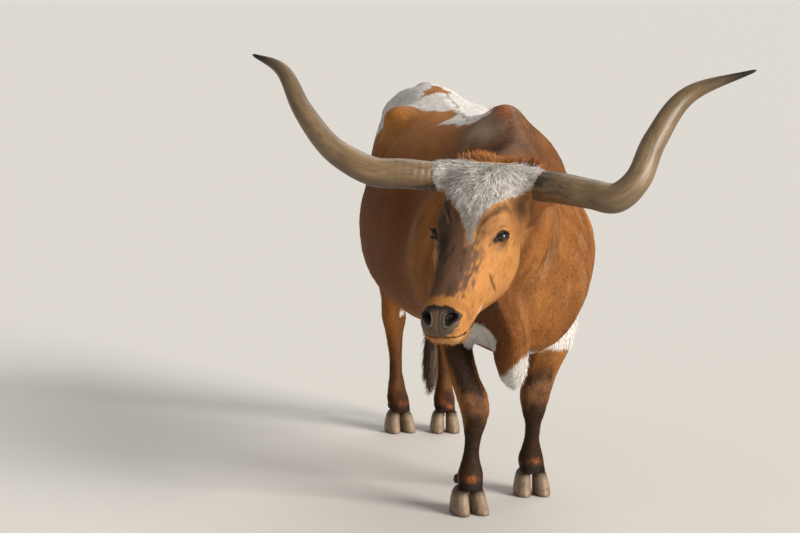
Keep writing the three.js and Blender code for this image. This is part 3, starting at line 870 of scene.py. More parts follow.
def face_colours(points, normals):
    """The head's colours, its share of white, and how wet it is."""
    places = head_places(points)
    side, down, out = places.T
    both = mirrored(places)
    grain = layered(places * (1, 0.4, 0.7), 7, 111)
    patchy = layered(places, 40, 112)
    wavy = shaken(places, 5, 16, 113) + 2.5 * noises(places, 5, 116)
    front = ease(-95, -70, out)
    torn = wavy[:, :2] + 13 * noise(places * (1, 0.3, 1), 7, 125)[:, None] * (1, 0.4)
    freckled = ease(0.2, 0.75, layered(places * (1, 0.35, 0.7), 9, 126))
    freckled *= inside(wavy[:, :2] - (26, 0), BRIDGE, 26)
    salt = lay("bridge", TONES["knee"] * 1.25, 0.4 + 1.1 * layered(places * (1, 0.35, 1), 5, 119))
    shaded = ease(-14, -70, side + 0.08 * (down - 250)) * ease(460, 380, down)
    salt = lay_all(
        salt, ("black", 0.85 * shaded), ("black", 0.6 * ease(0.0, 0.7, noise(places * (1, 0.3, 1), 12, 120)))
    )
    # The temples are painted darker under the horns as painted shade, and the lid under the brow is pale
    temple_shade = mound(both, (122, 66, -70), (42, 40, 50))
    shade = mound(both, (74, 196, -16), (24, 52, 40)) * (0.6 + 0.8 * layered(places, 12, 128))
    pale_lid = mound(both, (92, 152, -34), (18, 26, 30))
    # The brow's crease is painted darker: a painted shade line
    brow = ease(15, 1, near_line(both[:, :2] + 2 * noise(places, 8, 121)[:, None], BROW_LINE)) * (out > -60)
    along, up, forward, edge = eye_frame(places)
    at_eye = (forward > -12) & (np.hypot(along, up) < 70)
    smudge = bell(along, -6, 27) * bell(up, -25, 13) * at_eye
    # Painted shade along the crease of the upper lid
    lid_crease_shade = bell(along, 2, 26) * bell(up, 27, 6) * at_eye
    canthus = bell(along, -27, 13) * bell(up, -3, 8) * at_eye
    rim = ease(11.5, 4, edge + 1.4 * noise(places, 6, 122)) * at_eye
    scratch = ease(3.0, 0.8, near_line(places[:, :2], SCRATCH)) * (side > 0) * (out < -60)
    # The muzzle
    chin = ease(470, 520, down) * ease(-92, -112, out)
    corner = mound(both, (73, 412, -152), (16, 34, 12))
    pad = inside(wavy[:, :2], PAD, 3) * ease(-84, -79, out)
    nostril = nostril_share(places)
    # A painted highlight along the nostrils' inner rims
    nostril_rim_highlight = band(1.18, 1.36, 0.1, nostril) * ease(NOSTRIL[0] - 2, NOSTRIL[0] - 12, both[:, 0])
    # The crest is round: 0 faces out from the face, and a quarter turn faces up from the poll
    crest_turn = np.arctan2(-(down + 25 + 5 * noise(places, 9, 123)), out + 46)
    on_top = ease(-5, -20, down) * ease(0.86, 1.06, crest_turn)
    white = inside(wavy[:, :2], BLAZE, 3) * ease(-90, -74, out) * (1 - on_top)
    greyness = 0.45 + 0.6 * ease(70, 220, down) + 0.6 * grain + 0.2 * patchy
    *_, on_ear = ear_places(places)
    facing = normals @ HEAD_AXES.T * flips(places) @ EAR_FACE
    colour = lay_all(
        lay("orange", "bright", 0.5 + 0.5 * patchy + 0.25 * grain),
        ("bright", 0.7 * mound(both, (104, 300, -120), (40, 110, 70))),
        ("deep", 0.5 * ease(-0.1, 0.8, -grain) * ease(-0.3, 0.4, -patchy)),
        ("deep", 0.75 * ease(-190, -290, out + 0.3 * down - 60)),
        ("bridge", 0.7 * freckled * front),
        (salt * 0.82, 0.95 * inside(torn, BRIDGE, 12) * front),
        ("smoke", 0.85 * temple_shade),
        (TONES["bridge"] * 1.15, 0.75 * shade),
        ("tan", 0.4 * pale_lid),
        ("smoke", 0.8 * brow),
        ("bridge", 0.85 * smudge),
        ("bridge", 0.6 * lid_crease_shade),
        ("black", 1.3 * canthus),
        ("black", rim),
        ("leg", 0.8 * scratch),
        (TONES["orange"] * 0.78, 0.8 * band(472, 500, 8, wavy[:, 1]) * front),
        ("lip", 0.85 * chin),
        ("leg", ease(5, 2.2, mouth_distance(places))),
        ("gum", 0.9 * ease(0.3, 0.7, corner)),
        (lay("pad", "black", ease(527, 508, down) * 0.9 + 0.2 * grain), pad),
        ("black", ease(1.7, 1.25, nostril)),
        (TONES["gum"] * 0.55, 0.5 * nostril_rim_highlight * ease(518, 530, down)),
        (lay("white", TONES["grey"] * 0.85, greyness), white),
        ("crest", on_top * band(-90, 176, 12, side) * ease(2.9, 2.5, crest_turn)),
        ("chestnut", 0.8 * on_ear),
        # Painted shade in the ear's hollow
        ("deep", 0.7 * on_ear * ease(0.3, 0.7, facing)),
    )
    wet = np.max([pad, ease(1.7, 1.3, nostril), 0.8 * ease(0.4, 0.8, corner), rim * (edge < 4)], axis=0)
    return colour, white, wet


def coat_colours(points, normals):
    """Colour, share of white and wetness at each place."""
    colour, white = body_colours(points, normals)
    tail = tail_share(points)
    pale_tail = ease(0.86, 1.02, points[:, 2] + 0.05 * noise(points, 0.03, 98))
    colour = lay(colour, TONES["ash"] * 0.5, tail * (points[:, 2] < 0.62))
    colour = lay(colour, TONES["white"] * 0.8, 0.7 * tail * pale_tail)
    wet = np.zeros(len(points))
    share = head_share(points)
    own = share > 0.01
    share = share[own]
    face, face_white, face_wet = face_colours(points[own], normals[own])
    colour[own] = lay(colour[own], face, share)
    white[own] = white[own] * (1 - share) + face_white * share
    wet[own] = face_wet * share
    return colour, white, wet


# The coat: flat tapering tufts and locks that lie along the skin

WHORL = (24, -52, -6)


def lie_of(points, normals):
    """The way the hair points, along the skin."""
    _, y, z = points.T
    flow = np.array((0, 1, -0.45))
    for way, share in (
        ((0, 0.35, -1), ease(1.0, 1.3, y)),
        ((0, 0.55, -1), ease(0.15, -0.2, y)),
        ((0, 0.15, -1), 1 - ease(0.45, 0.8, z)),
        ((0, 0, -1), tail_share(points)),
    ):
        flow = lay(flow, way, share)
    flow += 0.22 * noises(points, 0.14, 201)
    places = head_places(points)
    fan = unit(places - WHORL) * (1, 1, 0.6) + 0.25 * noises(places, 24, 204)
    *_, on_ear = ear_places(places)
    fan = lay(fan, EAR_ALONG * flips(places), on_ear)
    flow = lay(flow, unit(fan) @ HEAD_AXES, head_share(points))
    flow -= normals * (flow * normals).sum(1, keepdims=True)
    return unit(flow)


def scatter(points, triangles, normals, room):
    """Places strewn over the skin, one to each room square metres, with the skin's normals there."""
    a, b, c = (points[triangles[:, k]] for k in range(3))
    area = np.linalg.norm(np.cross(b - a, c - a), axis=1) / 2
    wanted = np.cumsum(area / room[triangles].mean(1))
    count = int(wanted[-1])
    at = np.searchsorted(wanted, (np.arange(count) + rng.random(count)) / count * wanted[-1])
    at = triangles[np.minimum(at, len(triangles) - 1)]
    u, v = rng.random((2, count))
    over = u + v > 1
    u, v = np.where(over, 1 - u, u), np.where(over, 1 - v, v)
    share = np.stack((1 - u - v, u, v), 1)[:, :, None]
    return (points[at] * share).sum(1), unit((normals[at] * share).sum(1))


# How far blades roll to a side, how deep their roots sit, and how much of their own facing they are lit by
ROLL, ROOT_DEPTH, FACING_SHARE = 0.32, 0.0008, 0.35


def blades(roots, normals, ways, length, width, lift, segments=2, droop=0.0, wave=0.0):
    """Tapering flat blades, as rows of points for each, with their normals."""
    count = len(roots)
    across = unit(np.cross(normals, ways) + normals * rng.uniform(-ROLL, ROLL, count)[:, None])
    facing = unit(np.cross(ways, across))
    phase = rng.uniform(0, TURN, count)
    rows = []
    for k in range(segments + 1):
        t = k / segments
        rise = lift * t * (2 - t) - ROOT_DEPTH * (1 - t)
        spine = roots + ways * (length * t)[:, None] + normals * rise[:, None]
        spine = spine + across * (wave * t * np.sin(phase + 5.5 * t))[:, None] - UP * droop * t * t
        half = across * (width / 2 * (1 - t * t) ** 0.6)[:, None]
        rows += [spine] if k == segments else [spine - half, spine + half]
    return np.stack(rows, 1), unit(normals + FACING_SHARE * (facing - normals))


def blade_faces(count, segments):
    """The triangles of some blades, with one for each blade's tip."""
    own = [(2 * k, 2 * k + 2, 2 * k + 1) for k in range(segments)]
    own += [(2 * k + 1, 2 * k + 2, 2 * k + 3) for k in range(segments - 1)]
    first = np.arange(count)[:, None, None] * (2 * segments + 1)
    return (first + np.array(own)).reshape(-1, 3)


def levels(segments):
    """How far along its blade each point is, from 0 at the root to 1 at the tip."""
    return np.arange(2 * segments + 1) // 2 / segments


def bake_map(piece, places, segments, faces):
    """The piece's map for the bake: a small patch for each blade, at its place on the unwrap."""
    across = [*[0.0, 1.0] * segments, 0.5]
    within = np.stack((across, levels(segments)), 1) * PATCH
    uv = (places[:, None] + within).reshape(-1, 2)[faces.ravel()]
    layer = piece.data.uv_layers.new(name="OFBake")
    layer.data.foreach_set("uv", uv.astype(np.float32).ravel())


# The height at which the legs end
LEG_TOP = 0.62
REGIONS = ("head", "ears", "neck", "trunk", *LEGS, "tail")
MOST_TRIANGLES = 192000
# The size of a blade's patch on the map, and the empty edge round them all
PATCH, MAP_EDGE = 0.003, 0.002
# How light blades are at the root, and how much lighter at the tip: the darker roots are painted shade of
# the coat on itself
ROOT_SHADE, TIP_SHADE = 0.89, 0.19


def region_of(points):
    """The number of each point's region."""
    x, y, z = points.T
    low = z < LEG_TOP
    between = (np.abs(x) < 0.075) & (y < 0.02)
    belly = (z > 0.5) & (np.abs(x) < 0.3) & (y > 0.25) & (y < 0.9)
    on_leg = low & ((np.abs(x) > 0.075) | (y > 0.02)) & ~belly
    head = head_share(points)
    on_ear = ear_places(head_places(points))[3] > 0.5
    region = np.full(len(points), REGIONS.index("trunk"))
    for name, own in (
        ("neck", (y < 0.05) & ~low | low & between),
        *((leg, on_leg & ((x < 0) == ("right" in leg)) & ((y < 0.6) == ("fore" in leg))) for leg in LEGS),
        ("tail", tail_share(points) > 0.5),
        ("head", head > 0.5),
        ("ears", on_ear & (head > 0.3)),
    ):
        region[own] = REGIONS.index(name)
    return region


def unwrapped(points, region):
    """Where places lie on an unwrap of their region: the angle round its axis and the distance along it."""
    x, y, z = points.T
    name = REGIONS[region]
    places = head_places(points)
    side, down, out = places.T
    if name == "head":
        return np.stack((np.arctan2(side, -(out + 90)), down), 1)
    if name == "ears":
        along, across, forward, _ = ear_places(places)
        return np.stack((np.arctan2(across, forward) + 7 * (side > 0), along), 1)
    if name in LEGS:
        return np.stack((leg_places(points)[1], z), 1)
    if name == "tail":
        middle_x, middle_y = 0.01 + 0.045 * ease(1.26, 0.4, z), 1.44 - 0.04 * ease(1.1, 0.4, z)
        return np.stack((np.arctan2(x - middle_x, y - middle_y), z), 1)
    return np.stack((np.arctan2(x, 0.93 - z), y), 1)


def fitted(places):
    """Places on the unwrap fitted to the map's square, with room for a patch."""
    low, high = places.min(0), places.max(0)
    return (places - low) / np.maximum(high - low, 1e-6) * (1 - 2 * MAP_EDGE - PATCH) + MAP_EDGE


def coat_piece(name, roots, rows, facing, colours, region, material, segments):
    """One coat piece of blades, with its colours, its normals and its map for the bake."""
    count, size = rows.shape[:2]
    faces = blade_faces(count, segments)
    piece = make_piece(name, rows.reshape(-1, 3), faces, material)
    # Each blade is painted darker towards its root: painted shade
    shade = ROOT_SHADE + TIP_SHADE * levels(segments)
    paint(piece, (colours[:, None] * shade[:, None]).reshape(-1, 3))
    bake_map(piece, fitted(unwrapped(roots, region)), segments, faces)
    normals = np.repeat(facing, size, axis=0)
    piece.data.normals_split_custom_set_from_vertices(normals.astype(np.float32))


def coat_pieces(kind, roots, rows, facing, colours, material):
    """Blades shared out over pieces, by region and then from front to back."""
    segments = rows.shape[1] // 2
    region = region_of(roots)
    most = MOST_TRIANGLES // (2 * segments - 1)
    for k, name in enumerate(REGIONS):
        own = np.flatnonzero(region == k)
        if len(own) == 0:
            continue
        own = own[np.argsort(roots[own, 1], kind="stable")]
        parts = np.array_split(own, -(-len(own) // most))
        for number, chosen in enumerate(parts, 1):
            label = f"{kind}_{name}" + (f"_{number}" if len(parts) > 1 else "")
            blade_data = (data[chosen] for data in (roots, rows, facing, colours))
            coat_piece(label, *blade_data, k, material, segments)


def bare_share(points):
    """Where no hair grows: the wet nose, the eyes, the mouth and inside the claws."""
    places = head_places(points)
    bare = points[:, 2] < 0.078
    bare |= (inside(places[:, :2], PAD, 2) > 0.6) & (places[:, 2] > -82)
    bare |= nostril_share(places) < 1.35
    along, up, forward, edge = eye_frame(places)
    bare |= (edge < 3.2) & (forward > -6) & (np.hypot(along, up) < 60)
    bare |= (mouth_distance(places) < 2.6) & (places[:, 1] > 380)
    return bare


# The share of its own length and width that each tuft has room for
TUFT_ROOM = 0.50
# How much the ways and the tints of tufts and locks differ
TUFT_SPREAD, TUFT_TINT = 0.20, 0.14
LOCK_SPREAD, LOCK_TINT = 0.16, 0.2


def tuft_size(points):
    """The length and the width of the short coat's tufts, which are smaller on the face and the feet."""
    low = 1 - ease(0.12, 0.62, points[:, 2])
    face = head_share(points)
    return 13.0 - 4.5 * low - 6.5 * face, 2.7 - 0.8 * low - 1.15 * face


def tufts(points, triangles, normals, material):
    """The short coat all over."""
    long, wide = tuft_size(points)
    roots, facing = scatter(points, triangles, normals, TUFT_ROOM * long * wide * MM * MM)
    kept = ~bare_share(roots)
    roots, facing = roots[kept], facing[kept]
    colours, white, _ = coat_colours(roots, facing)
    count = len(roots)
    face = head_share(roots)
    long, wide = tuft_size(roots)
    long = long * (1 - 0.35 * ease(430, 500, head_places(roots)[:, 1]) * face) + 7 * white * face
    long = long * rng.uniform(0.7, 1.3, count)
    wide = wide * rng.uniform(0.7, 1.2, count)
    ways = unit(lie_of(roots, facing) + TUFT_SPREAD * rng.normal(size=(count, 3)))
    ways = unit(ways - facing * (ways * facing).sum(1, keepdims=True))
    lift = (0.9 + 0.9 * white + 0.6 * rng.random(count)) * (1 - 0.5 * face * (1 - white)) * MM
    tint = np.exp(rng.normal(0, TUFT_TINT, count))[:, None]
    rows, soft = blades(roots, facing, ways, long * MM, wide * MM, lift)
    coat_pieces("coat", roots, rows, soft, colours * tint, material)


LOCK_SEGMENTS = 5
# Each kind of longer hair: square millimetres for each, then length, width, lift, droop and wave in
# millimetres, and how stiffly it stands up
LOCKS = {
    "fringe": (7.0, 34, 1.9, 4.5, 0.0, 3.2, 0.0),
    "seats": (8.0, 20, 1.8, 2.5, 0.0, 1.6, 0.0),
    "crest": (4.0, 27, 1.7, 9.0, 0.0, 2.5, 1.3),
    "chin": (6.0, 13, 1.0, 4.5, 0.0, 1.0, 0.5),
    "ear": (9.0, 22, 1.1, 3.0, 3.0, 1.5, 0.2),
    "switch": (20.0, 48, 2.4, 4.0, 18.0, 5.0, 0.0),
    "dewlap": (9.0, 20, 1.6, 3.0, 3.0, 1.6, 0.2),
    "elbow": (12.0, 21, 1.8, 2.5, 2.0, 1.6, 0.1),
}


def lock_shares(points, normals):
    """Where each kind of longer hair grows, as a share at each point."""
    x, y, z = points.T
    places = head_places(points)
    side, down, out = places.T
    _, white, _ = coat_colours(points, normals)
    own_head = head_share(points) > 0.6
    crest_turn = np.arctan2(-(down + 25), out + 46)
    crest = band(-72, 150, 30, side) * band(0.74, 1.8, 0.12, crest_turn) * ease(-8, -22, down)
    _, across, _, on_ear = ear_places(places)
    return {
        "fringe": own_head * white * band(-56, 100, 14, down) * band(-70, 100, 14, side),
        "seats": own_head * white * (np.abs(side) > 90) * (down < 50),
        "crest": own_head * crest,
        "chin": own_head * ease(470, 520, down) * ease(-96, -112, out),
        "ear": on_ear * own_head * band(28, 44, 5, np.abs(across)),
        "switch": tail_share(points) * (z < 0.60),
        "dewlap": (white > 0.5) * (y < 0) * (z < 0.56) * (z > 0.3) * (np.abs(x + 0.05) < 0.08),
        "elbow": (white > 0.5) * (x > 0.12) * (y < 0.3) * (z < 0.8),
    }


def long_locks(points, triangles, normals, material):
    """Longer hair where the coat has it."""
    shares = lock_shares(points, normals)
    for name, (room, length, width, lift, droop, wave, rise) in LOCKS.items():
        room_there = room * MM * MM / np.maximum(shares[name], 1e-7)
        roots, facing = scatter(points, triangles, normals, room_there)
        if len(roots) == 0:
            continue
        ways = lie_of(roots, facing) + rise * HEAD_OUT * 0.3 - rise * HEAD_DOWN
        ways = unit(ways + (LOCK_SPREAD + 0.22 * rise) * rng.normal(size=(len(roots), 3)))
        count = len(roots)
        size = length * rng.uniform(0.6, 1.15, count) * (1 + 0.35 * rise * noise(roots, 0.022, 207)) * MM
        # White hair stops where its marking does
        tone, here, _ = coat_colours(roots, facing)
        ahead = coat_colours(roots + 0.75 * size[:, None] * ways, facing)[1]
        size *= np.where(here > 0.5, 0.25 + 0.75 * ahead, 1)
        wide, high = np.full((2, count), ((width * MM,), (lift * MM,)))
        rows, soft = blades(roots, facing, ways, size, wide, high, LOCK_SEGMENTS, droop * MM, wave * MM)
        tint = np.exp(rng.normal(0, LOCK_TINT, count))[:, None]
        coat_pieces(f"locks_{name}", roots, rows, soft, tone * tint, material)


# Horns: down from the crest's inside to the tip, as side, down, out and radius in the head's frame

HORN_ROWS = {
    "right": (
        (150, -22, -46, 43), (180, -16, -41, 45), (250, 5, -10, 46), (335, 20, 10, 45), (415, 5, 40, 42),
        (500, -40, 70, 37), (605, -145, 110, 31), (700, -270, 150, 22), (815, -320, 170, 4),
    ),
    "left": (
        (158, -8, -62, 44), (190, 0, -55, 46), (270, 42, -15, 46), (360, 68, -5, 44), (440, 82, 0, 44),
        (498, 25, 25, 39), (530, -100, 60, 35), (605, -250, 90, 26), (795, -335, 110, 4),
    ),
}
HORN_STEPS, HORN_ROUND = 280, 72
# The curve through the rows is first drawn in so many steps for each row
CURVE_STEPS = 40


def smooth_rows(rows, count):
    """A smooth curve through rows of numbers, at even steps along it."""
    rows = np.asarray(rows, float)
    padded = np.vstack((2 * rows[0] - rows[1], rows, 2 * rows[-1] - rows[-2]))
    t = np.linspace(0, len(rows) - 1, CURVE_STEPS * len(rows))
    k = np.minimum(t.astype(int), len(rows) - 2)
    f = (t - k)[:, None]
    a, b, c, d = (padded[k + j] for j in range(4))
    curve = 0.5 * (2 * b + (c - a) * f + (2 * a - 5 * b + 4 * c - d) * f**2 + (3 * b - a - 3 * c + d) * f**3)
    run = np.concatenate(([0], np.cumsum(np.linalg.norm(np.diff(curve[:, :3], axis=0), axis=1))))
    even = np.linspace(0, run[-1], count)
    return np.stack([np.interp(even, run, column) for column in curve.T], 1), even


# The colours of the horns
HORN_CREAM, HORN_TAN, HORN_GREY, HORN_BROWN, HORN_BLACK = map(
    linear, ("9a8360", "6a4d31", "5a4b3d", "302116", "1a1715")
)


def horn(name, flip, material):
    """A horn's sheath, ringed near the head and dark at the tip."""
    rows, run = smooth_rows([(side * flip, *rest) for side, *rest in HORN_ROWS[name]], HORN_STEPS)
    centre, radius = rows[:, :3], rows[:, 3]
    radius = np.maximum(radius, 2.5) * np.sqrt(np.clip((run[-1] - run) / 12, 0, 1))
    ahead = unit(np.gradient(centre, axis=0))
    first = unit(np.cross(ahead, UP))
    centre, radius, along, first, second = (
        np.repeat(row, HORN_ROUND, 0) for row in (centre, radius, run, first, np.cross(ahead, first))
    )
    angle = np.tile(np.linspace(0, TURN, HORN_ROUND, endpoint=False), HORN_STEPS)
    across, up = np.cos(angle), np.sin(angle)
    share = along / run[-1]
    skin = np.stack((across * 30, up * 30, along * 0.12), 1) + 500 * flip
    fibre = layered(skin, 7, 301)
    blotch = layered(skin * (1, 1, 3), 34, 302)
    near = 1 - ease(0.02, 0.30, share)
    rings = np.sin(along / 3.4 + 1.5 * noise(skin, 20, 303)) * near
    grown = radius + 0.45 * fibre * (1.3 - share) + 0.5 * rings + 0.7 * blotch * (1 - share)
    grown = grown * (share < 0.999)
    out = across[:, None] * first + up[:, None] * second
    points = on_head(centre + out * grown[:, None])
    piece = make_piece(f"horn_{name}_sheath", points, tube_faces(HORN_STEPS, HORN_ROUND), material)
    streaks = ease(0.0, 0.8, fibre + 0.5 * blotch + 0.4 * near - 0.2) * (0.55 + 0.3 * near)
    colour = lay_all(
        HORN_GREY,
        (HORN_CREAM, 0.45 + 0.5 * blotch + 0.25 * fibre),
        (HORN_TAN, (0.9 - 1.2 * np.abs(share - 0.12)) * (0.45 + 0.5 * layered(skin, 24, 304))),
        (HORN_BROWN, streaks),
        (HORN_CREAM, 0.3 * band(0.62, 0.86, 0.07, share) * (0.7 + 0.5 * fibre)),
    )
    # Painted shade on the horns' undersides, fading out towards the tip
    horn_underside_shade = np.maximum(-(out @ HEAD_AXES)[:, 2], 0)
    colour = lay_all(
        colour * (1 - ease(0.45, 0.75, share)[:, None] * (0.38, 0.42, 0.46)),
        (HORN_GREY * 0.55, 0.6 * ease(0.78, 0.93, share + 0.05 * fibre)),
        (HORN_BLACK, ease(0.88, 0.965, share + 0.03 * blotch)),
        (HORN_BROWN, 0.6 * horn_underside_shade * ease(0.95, 0.6, share)),
    )
    paint(piece, colour, "horn_colour")
    paint(piece, skin * 0.01, "horn_place")
    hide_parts(f"horn_{name}")


# Claws and dewclaws: the solids rounded, with rings of growth


HOOF_STEP, HOOF_RING = 0.0034, 0.0085


def hooves(material):
    """A rounded wall with rings of growth over each claw and dewclaw."""
    pale, grey, dark = map(linear, ("957f69", "6c5949", "33291f"))
    for node in [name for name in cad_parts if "claw" in name]:
        small = "dewclaw" in node
        mesh = remeshed(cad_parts[node].data.copy(), HOOF_STEP)
        points, triangles, edges = arrays_of(mesh)
        bpy.data.meshes.remove(mesh)
        sole = points[:, 2] < 0.004
        eased = relaxed(points, edges, np.full(len(points), 0.5), 24)
        eased[sole, 2] = points[sole, 2]
        normals = normals_of(eased, triangles)
        height = eased[:, 2] + 0.25 * (eased[:, 1] - eased[:, 1].mean()) * (not small)
        rings = np.sin(height * TURN / HOOF_RING + 1.2 * noise(eased, 0.03, 401))
        wall = ease(0.004, 0.012, eased[:, 2])
        fibre = layered(eased + 0.004 * noise(eased, 0.01, 404)[:, None], 0.017, 402)
        eased += normals * (0.16 * rings * wall + 0.7 * fibre * wall)[:, None] * MM
        piece = make_piece(f"{node}_hoof", eased, triangles, material)
        z = eased[:, 2]
        patchy = ease(0.25, 0.8, layered(eased, 0.025, 403))
        colour = lay_all(
            pale,
            (grey, 0.4 + 0.5 * fibre + 0.07 * rings),
            (dark, 0.75 * ease(0.050, 0.075, z) + 0.4 * patchy),
            (dark, 0.5 * ease(0.012, 0.003, z)),
            (dark, np.full(len(z), 0.75 * small)),
        )
        paint(piece, colour, "horn_colour")
        paint(piece, eased * 10, "horn_place")
        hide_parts(node)


# Eyes


EYE_RINGS, EYE_ROUND = 56, 72


def eyeball(name, flip, material):
    """An eyeball with a wide flat pupil in a dark iris, and a cornea that stands out a little."""
    tilt = np.repeat(np.linspace(0.0, math.pi, EYE_RINGS), EYE_ROUND)
    angle = np.tile(np.linspace(0, TURN, EYE_ROUND, endpoint=False), EYE_RINGS)
    radius = EYE_RADIUS * (1 + 0.045 * bell(tilt, 0, 0.42))
    flat = radius * np.sin(tilt)
    along, up = flat * np.cos(angle), flat * np.sin(angle)
    places = along[:, None] * FISSURE + up[:, None] * BROW + (radius * np.cos(tilt))[:, None] * GAZE
    points = on_head((places + EYE_PLACE) * (flip, 1, 1))
    piece = make_piece(f"{name}_ball", points, tube_faces(EYE_RINGS, EYE_ROUND)[:, ::flip], material)
    iris, pupil, white = map(linear, ("23160f", "06070a", "2a1e18"))
    streaks = layered(np.stack((np.cos(angle) * 9, np.sin(angle) * 9, flat * 0.3), 1), 1.1, 501)
    colour = lay(white, iris, ease(16.4, 15.0, flat + 4 * (tilt > 1.5)))
    colour = lay_all(
        colour * (1 + 0.35 * streaks * (flat < 13))[:, None],
        (pupil * 1.5, band(14.2, 15.2, 0.7, flat) * (tilt < 1.5)),
        (pupil, ease(1.12, 0.92, np.hypot(along / 9.5, up / 6.2)) * (tilt < 1.5)),
    )
    paint(piece, np.clip(colour, 0, 1), "eye_colour")
    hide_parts(name)


LASH_COUNT, LASH_SEGMENTS = 70, 4


def lashes(material):
    """The upper lids' lashes."""
    count = LASH_COUNT
    faces = blade_faces(count, LASH_SEGMENTS)
    for name, flip in SIDES.items():
        mirror = (flip, 1, 1)
        along = np.linspace(-13, 17, count) + rng.normal(0, 0.3, count)
        up = LID_UPPER * (1 - np.minimum((along / LID_HALF) ** 2, 1)) ** 0.87
        out = np.sqrt(np.maximum(EYE_RADIUS**2 - np.hypot(along, up) ** 2, 60)) + 2.6
        roots = EYE_PLACE + along[:, None] * FISSURE + (up + 0.8)[:, None] * BROW + out[:, None] * GAZE
        ways = GAZE * 0.85 + BROW * 0.25 + FISSURE * (along / 24)[:, None]
        ways = unit((ways + 0.1 * rng.normal(size=(count, 3))) * mirror) @ HEAD_AXES
        upwards = np.tile(BROW * mirror @ HEAD_AXES, (count, 1))
        size = rng.uniform(9, 15, count) * MM
        wide, lift = np.full((2, count), ((0.7 * MM,), (-1.5 * MM,)))
        rows, _ = blades(on_head(roots * mirror), upwards, ways, size, wide, lift, LASH_SEGMENTS, 4 * MM)
        piece = make_piece(f"lashes_{name}", rows.reshape(-1, 3), faces, material)
        paint(piece, np.tile(TONES["black"], (rows.shape[0] * rows.shape[1], 1)))
        places = np.stack((np.linspace(0, 0.95, count), np.full(count, 0.5)), 1)
        bake_map(piece, places, LASH_SEGMENTS, faces)


# Materials


def principled(name, **values):
    """A new material, its nodes and its shader, with values set on the shader's own sockets."""
    material = bpy.data.materials.new(name)
    material.use_nodes = True
    shader = material.node_tree.nodes["Principled BSDF"]
    for socket, value in values.items():
        shader.inputs[socket.replace("_", " ")].default_value = value
    return material, material.node_tree, shader


def added(tree, kind, **values):
    """A new node. A value sets the socket of its name, or is the output that the socket is linked to."""
    node = tree.nodes.new("ShaderNode" + kind)
    for name, value in values.items():
        socket = node.inputs[name.replace("_", " ")]
        if isinstance(value, (int, float)):
            socket.default_value = value
        else:
            tree.links.new(value, socket)
    return node


def attribute(tree, name, output="Color"):
    """What the mesh holds under a name."""
    node = added(tree, "Attribute")
    node.attribute_name = name
    return node.outputs[output]


def object_place(tree):
    """The place on the object."""
    return added(tree, "TexCoord").outputs["Object"]


def grain(tree, scale, detail=3, place=None):
    """A noise from 0 to 1."""
    vector = object_place(tree) if place is None else place
    return added(tree, "TexNoise", Scale=scale, Detail=detail, Vector=vector).outputs["Fac"]


def ranged(tree, value, low, high):
    """A value from 0 to 1 brought to a range."""
    return added(tree, "MapRange", To_Min=low, To_Max=high, Value=value).outputs["Result"]


def coloured(tree, shader, name, value, low, high):
    """Gives the shader a colour of the mesh, made darker and lighter by a value."""
    node = added(tree, "VectorMath")
    node.operation = "SCALE"
    tree.links.new(attribute(tree, name), node.inputs[0])
    tree.links.new(ranged(tree, value, low, high), node.inputs["Scale"])
    tree.links.new(node.outputs["Vector"], shader.inputs["Base Color"])


def bumped(tree, shader, height, depth, strength):
    """Gives the shader small bumps of a depth in metres."""
    node = added(tree, "Bump", Strength=strength, Distance=depth, Height=height)
    tree.links.new(node.outputs["Normal"], shader.inputs["Normal"])


def hair_material():
    """The hair's, with a faint grain."""
    material, tree, shader = principled("coat_hair", Roughness=0.62, Specular_IOR_Level=0.08)
    coloured(tree, shader, "coat_colour", grain(tree, 260), 0.8, 1.2)
    return material


DRY_ROUGHNESS, WET_ROUGHNESS = 0.62, 0.34


def skin_material():
    """The skin under the hair, which is finely cracked, and smoother where it is wet."""
    material, tree, shader = principled("coat_skin", Specular_IOR_Level=0.22)
    coloured(tree, shader, "coat_colour", grain(tree, 420), 0.75, 1.2)
    wet = ranged(tree, attribute(tree, "wet", "Fac"), DRY_ROUGHNESS, WET_ROUGHNESS)
    tree.links.new(wet, shader.inputs["Roughness"])
    cells = added(tree, "TexVoronoi", Scale=330, Vector=object_place(tree))
    bumped(tree, shader, cells.outputs["Distance"], 0.0009, 0.55)
    return material


def horn_material(name, roughness, gloss):
    """Horn with a grain that runs along it."""
    material, tree, shader = principled(name, Roughness=roughness, Specular_IOR_Level=gloss)
    fibres = grain(tree, 22, 5, attribute(tree, "horn_place", "Vector"))
    coloured(tree, shader, "horn_colour", fibres, 0.62, 1.34)
    bumped(tree, shader, fibres, 0.0012, 0.6)
    return material


def eye_material():
    """The eyes', dark and glossy."""
    material, tree, shader = principled(
        "eye_gloss", Roughness=0.24, Specular_IOR_Level=0.5, Coat_Weight=0.12, Coat_Roughness=0.06
    )
    coloured(tree, shader, "eye_colour", grain(tree, 900), 0.8, 1.2)
    return material


# The stage: floor, lights and camera

CAMERA_PLACE = np.array((-1.7954, -7.0842, 1.6))
CAMERA_YAW = math.radians(-11.5)
CAMERA_PITCH = math.radians(90 - 6.58)
LENS_MM, SENSOR_MM = 103.95, 36
FLOOR_SPAN, FLOOR_RISE = 6000, 40


FLOOR_COLOUR = (0.70, 0.68, 0.65, 1)
WORLD_COLOUR, WORLD_STRENGTH = (0.92, 0.91, 0.89, 1), 0.36
# The way each light comes from, its strength, its spread in degrees and its colour
SUNS = {
    "key": ((0.66, -0.80, 0.36), 5.0, 30, (1, 0.955, 0.88)),
    "back": ((0.45, 0.75, 0.9), 0.8, 40, (1, 0.98, 0.95)),
}


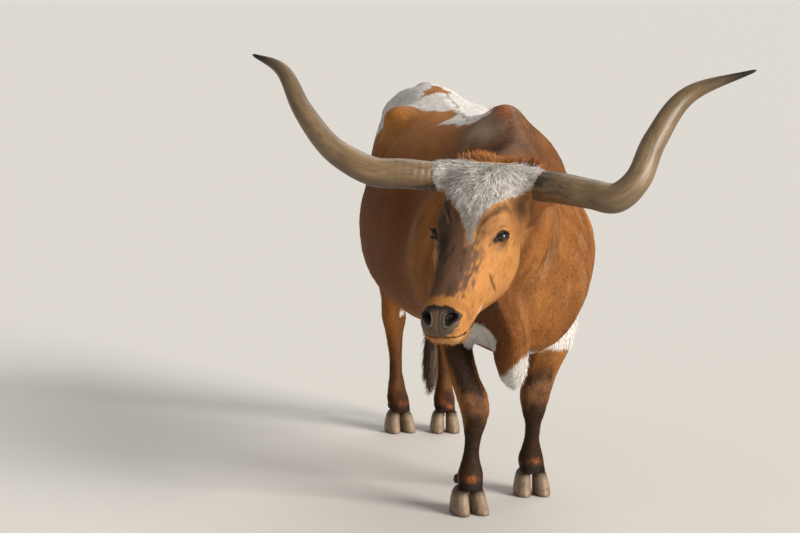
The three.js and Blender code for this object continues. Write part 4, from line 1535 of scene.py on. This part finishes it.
def camera():
    """The photo's view."""
    data = bpy.data.cameras.new("camera")
    data.lens = LENS_MM
    data.sensor_width = SENSOR_MM
    data.clip_end = FLOOR_SPAN
    seen_from = placed("camera", data)
    seen_from.location = CAMERA_PLACE + WITHERS
    seen_from.rotation_euler = (CAMERA_PITCH, 0, CAMERA_YAW)
    bpy.context.scene.camera = seen_from


def floor():
    """A wide floor, which rises a little far behind and hides the horizon."""
    half = FLOOR_SPAN / 2
    rows = ((-half, 0), (half / 3, 0), (half, FLOOR_RISE))
    corners = [(x, y, z) for y, z in rows for x in (-half, half)]
    mesh = bpy.data.meshes.new("floor")
    mesh.from_pydata(corners, [], [(0, 1, 3, 2), (2, 3, 5, 4)])
    mesh.materials.append(principled("floor", Base_Color=FLOOR_COLOUR, Roughness=0.9)[0])
    placed("floor", mesh)


def suns():
    """Soft far lights."""
    for name, (towards, strength, spread, colour) in SUNS.items():
        data = bpy.data.lights.new(name, "SUN")
        data.energy = strength
        data.angle = math.radians(spread)
        data.color = colour
        placed(name, data).rotation_euler = Vector(towards).to_track_quat("Z", "Y").to_euler()


def surroundings():
    """An even light from all round."""
    world = bpy.data.worlds.new("studio")
    world.use_nodes = True
    background = world.node_tree.nodes["Background"]
    background.inputs["Color"].default_value = WORLD_COLOUR
    background.inputs["Strength"].default_value = WORLD_STRENGTH
    bpy.context.scene.world = world


def build():
    """The whole scene."""
    camera()
    floor()
    suns()
    surroundings()
    bpy.context.scene.view_settings.view_transform = "Standard"
    hair = hair_material()
    points, triangles, normals = shaped_skin()
    skin = make_piece("skin", points, triangles, skin_material())
    colours, _, wet = coat_colours(points, normals)
    paint(skin, colours)
    measure(skin, wet, "wet")
    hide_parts(*FLESH)
    tufts(points, triangles, normals, hair)
    long_locks(points, triangles, normals, hair)
    sheath, gloss = horn_material("horn_sheath", 0.42, 0.45), eye_material()
    for name, flip in SIDES.items():
        horn(name, flip, sheath)
        eyeball(f"eye_{name}", flip, gloss)
    hooves(horn_material("hoof_wall", 0.5, 0.4))
    lashes(hair)


build()
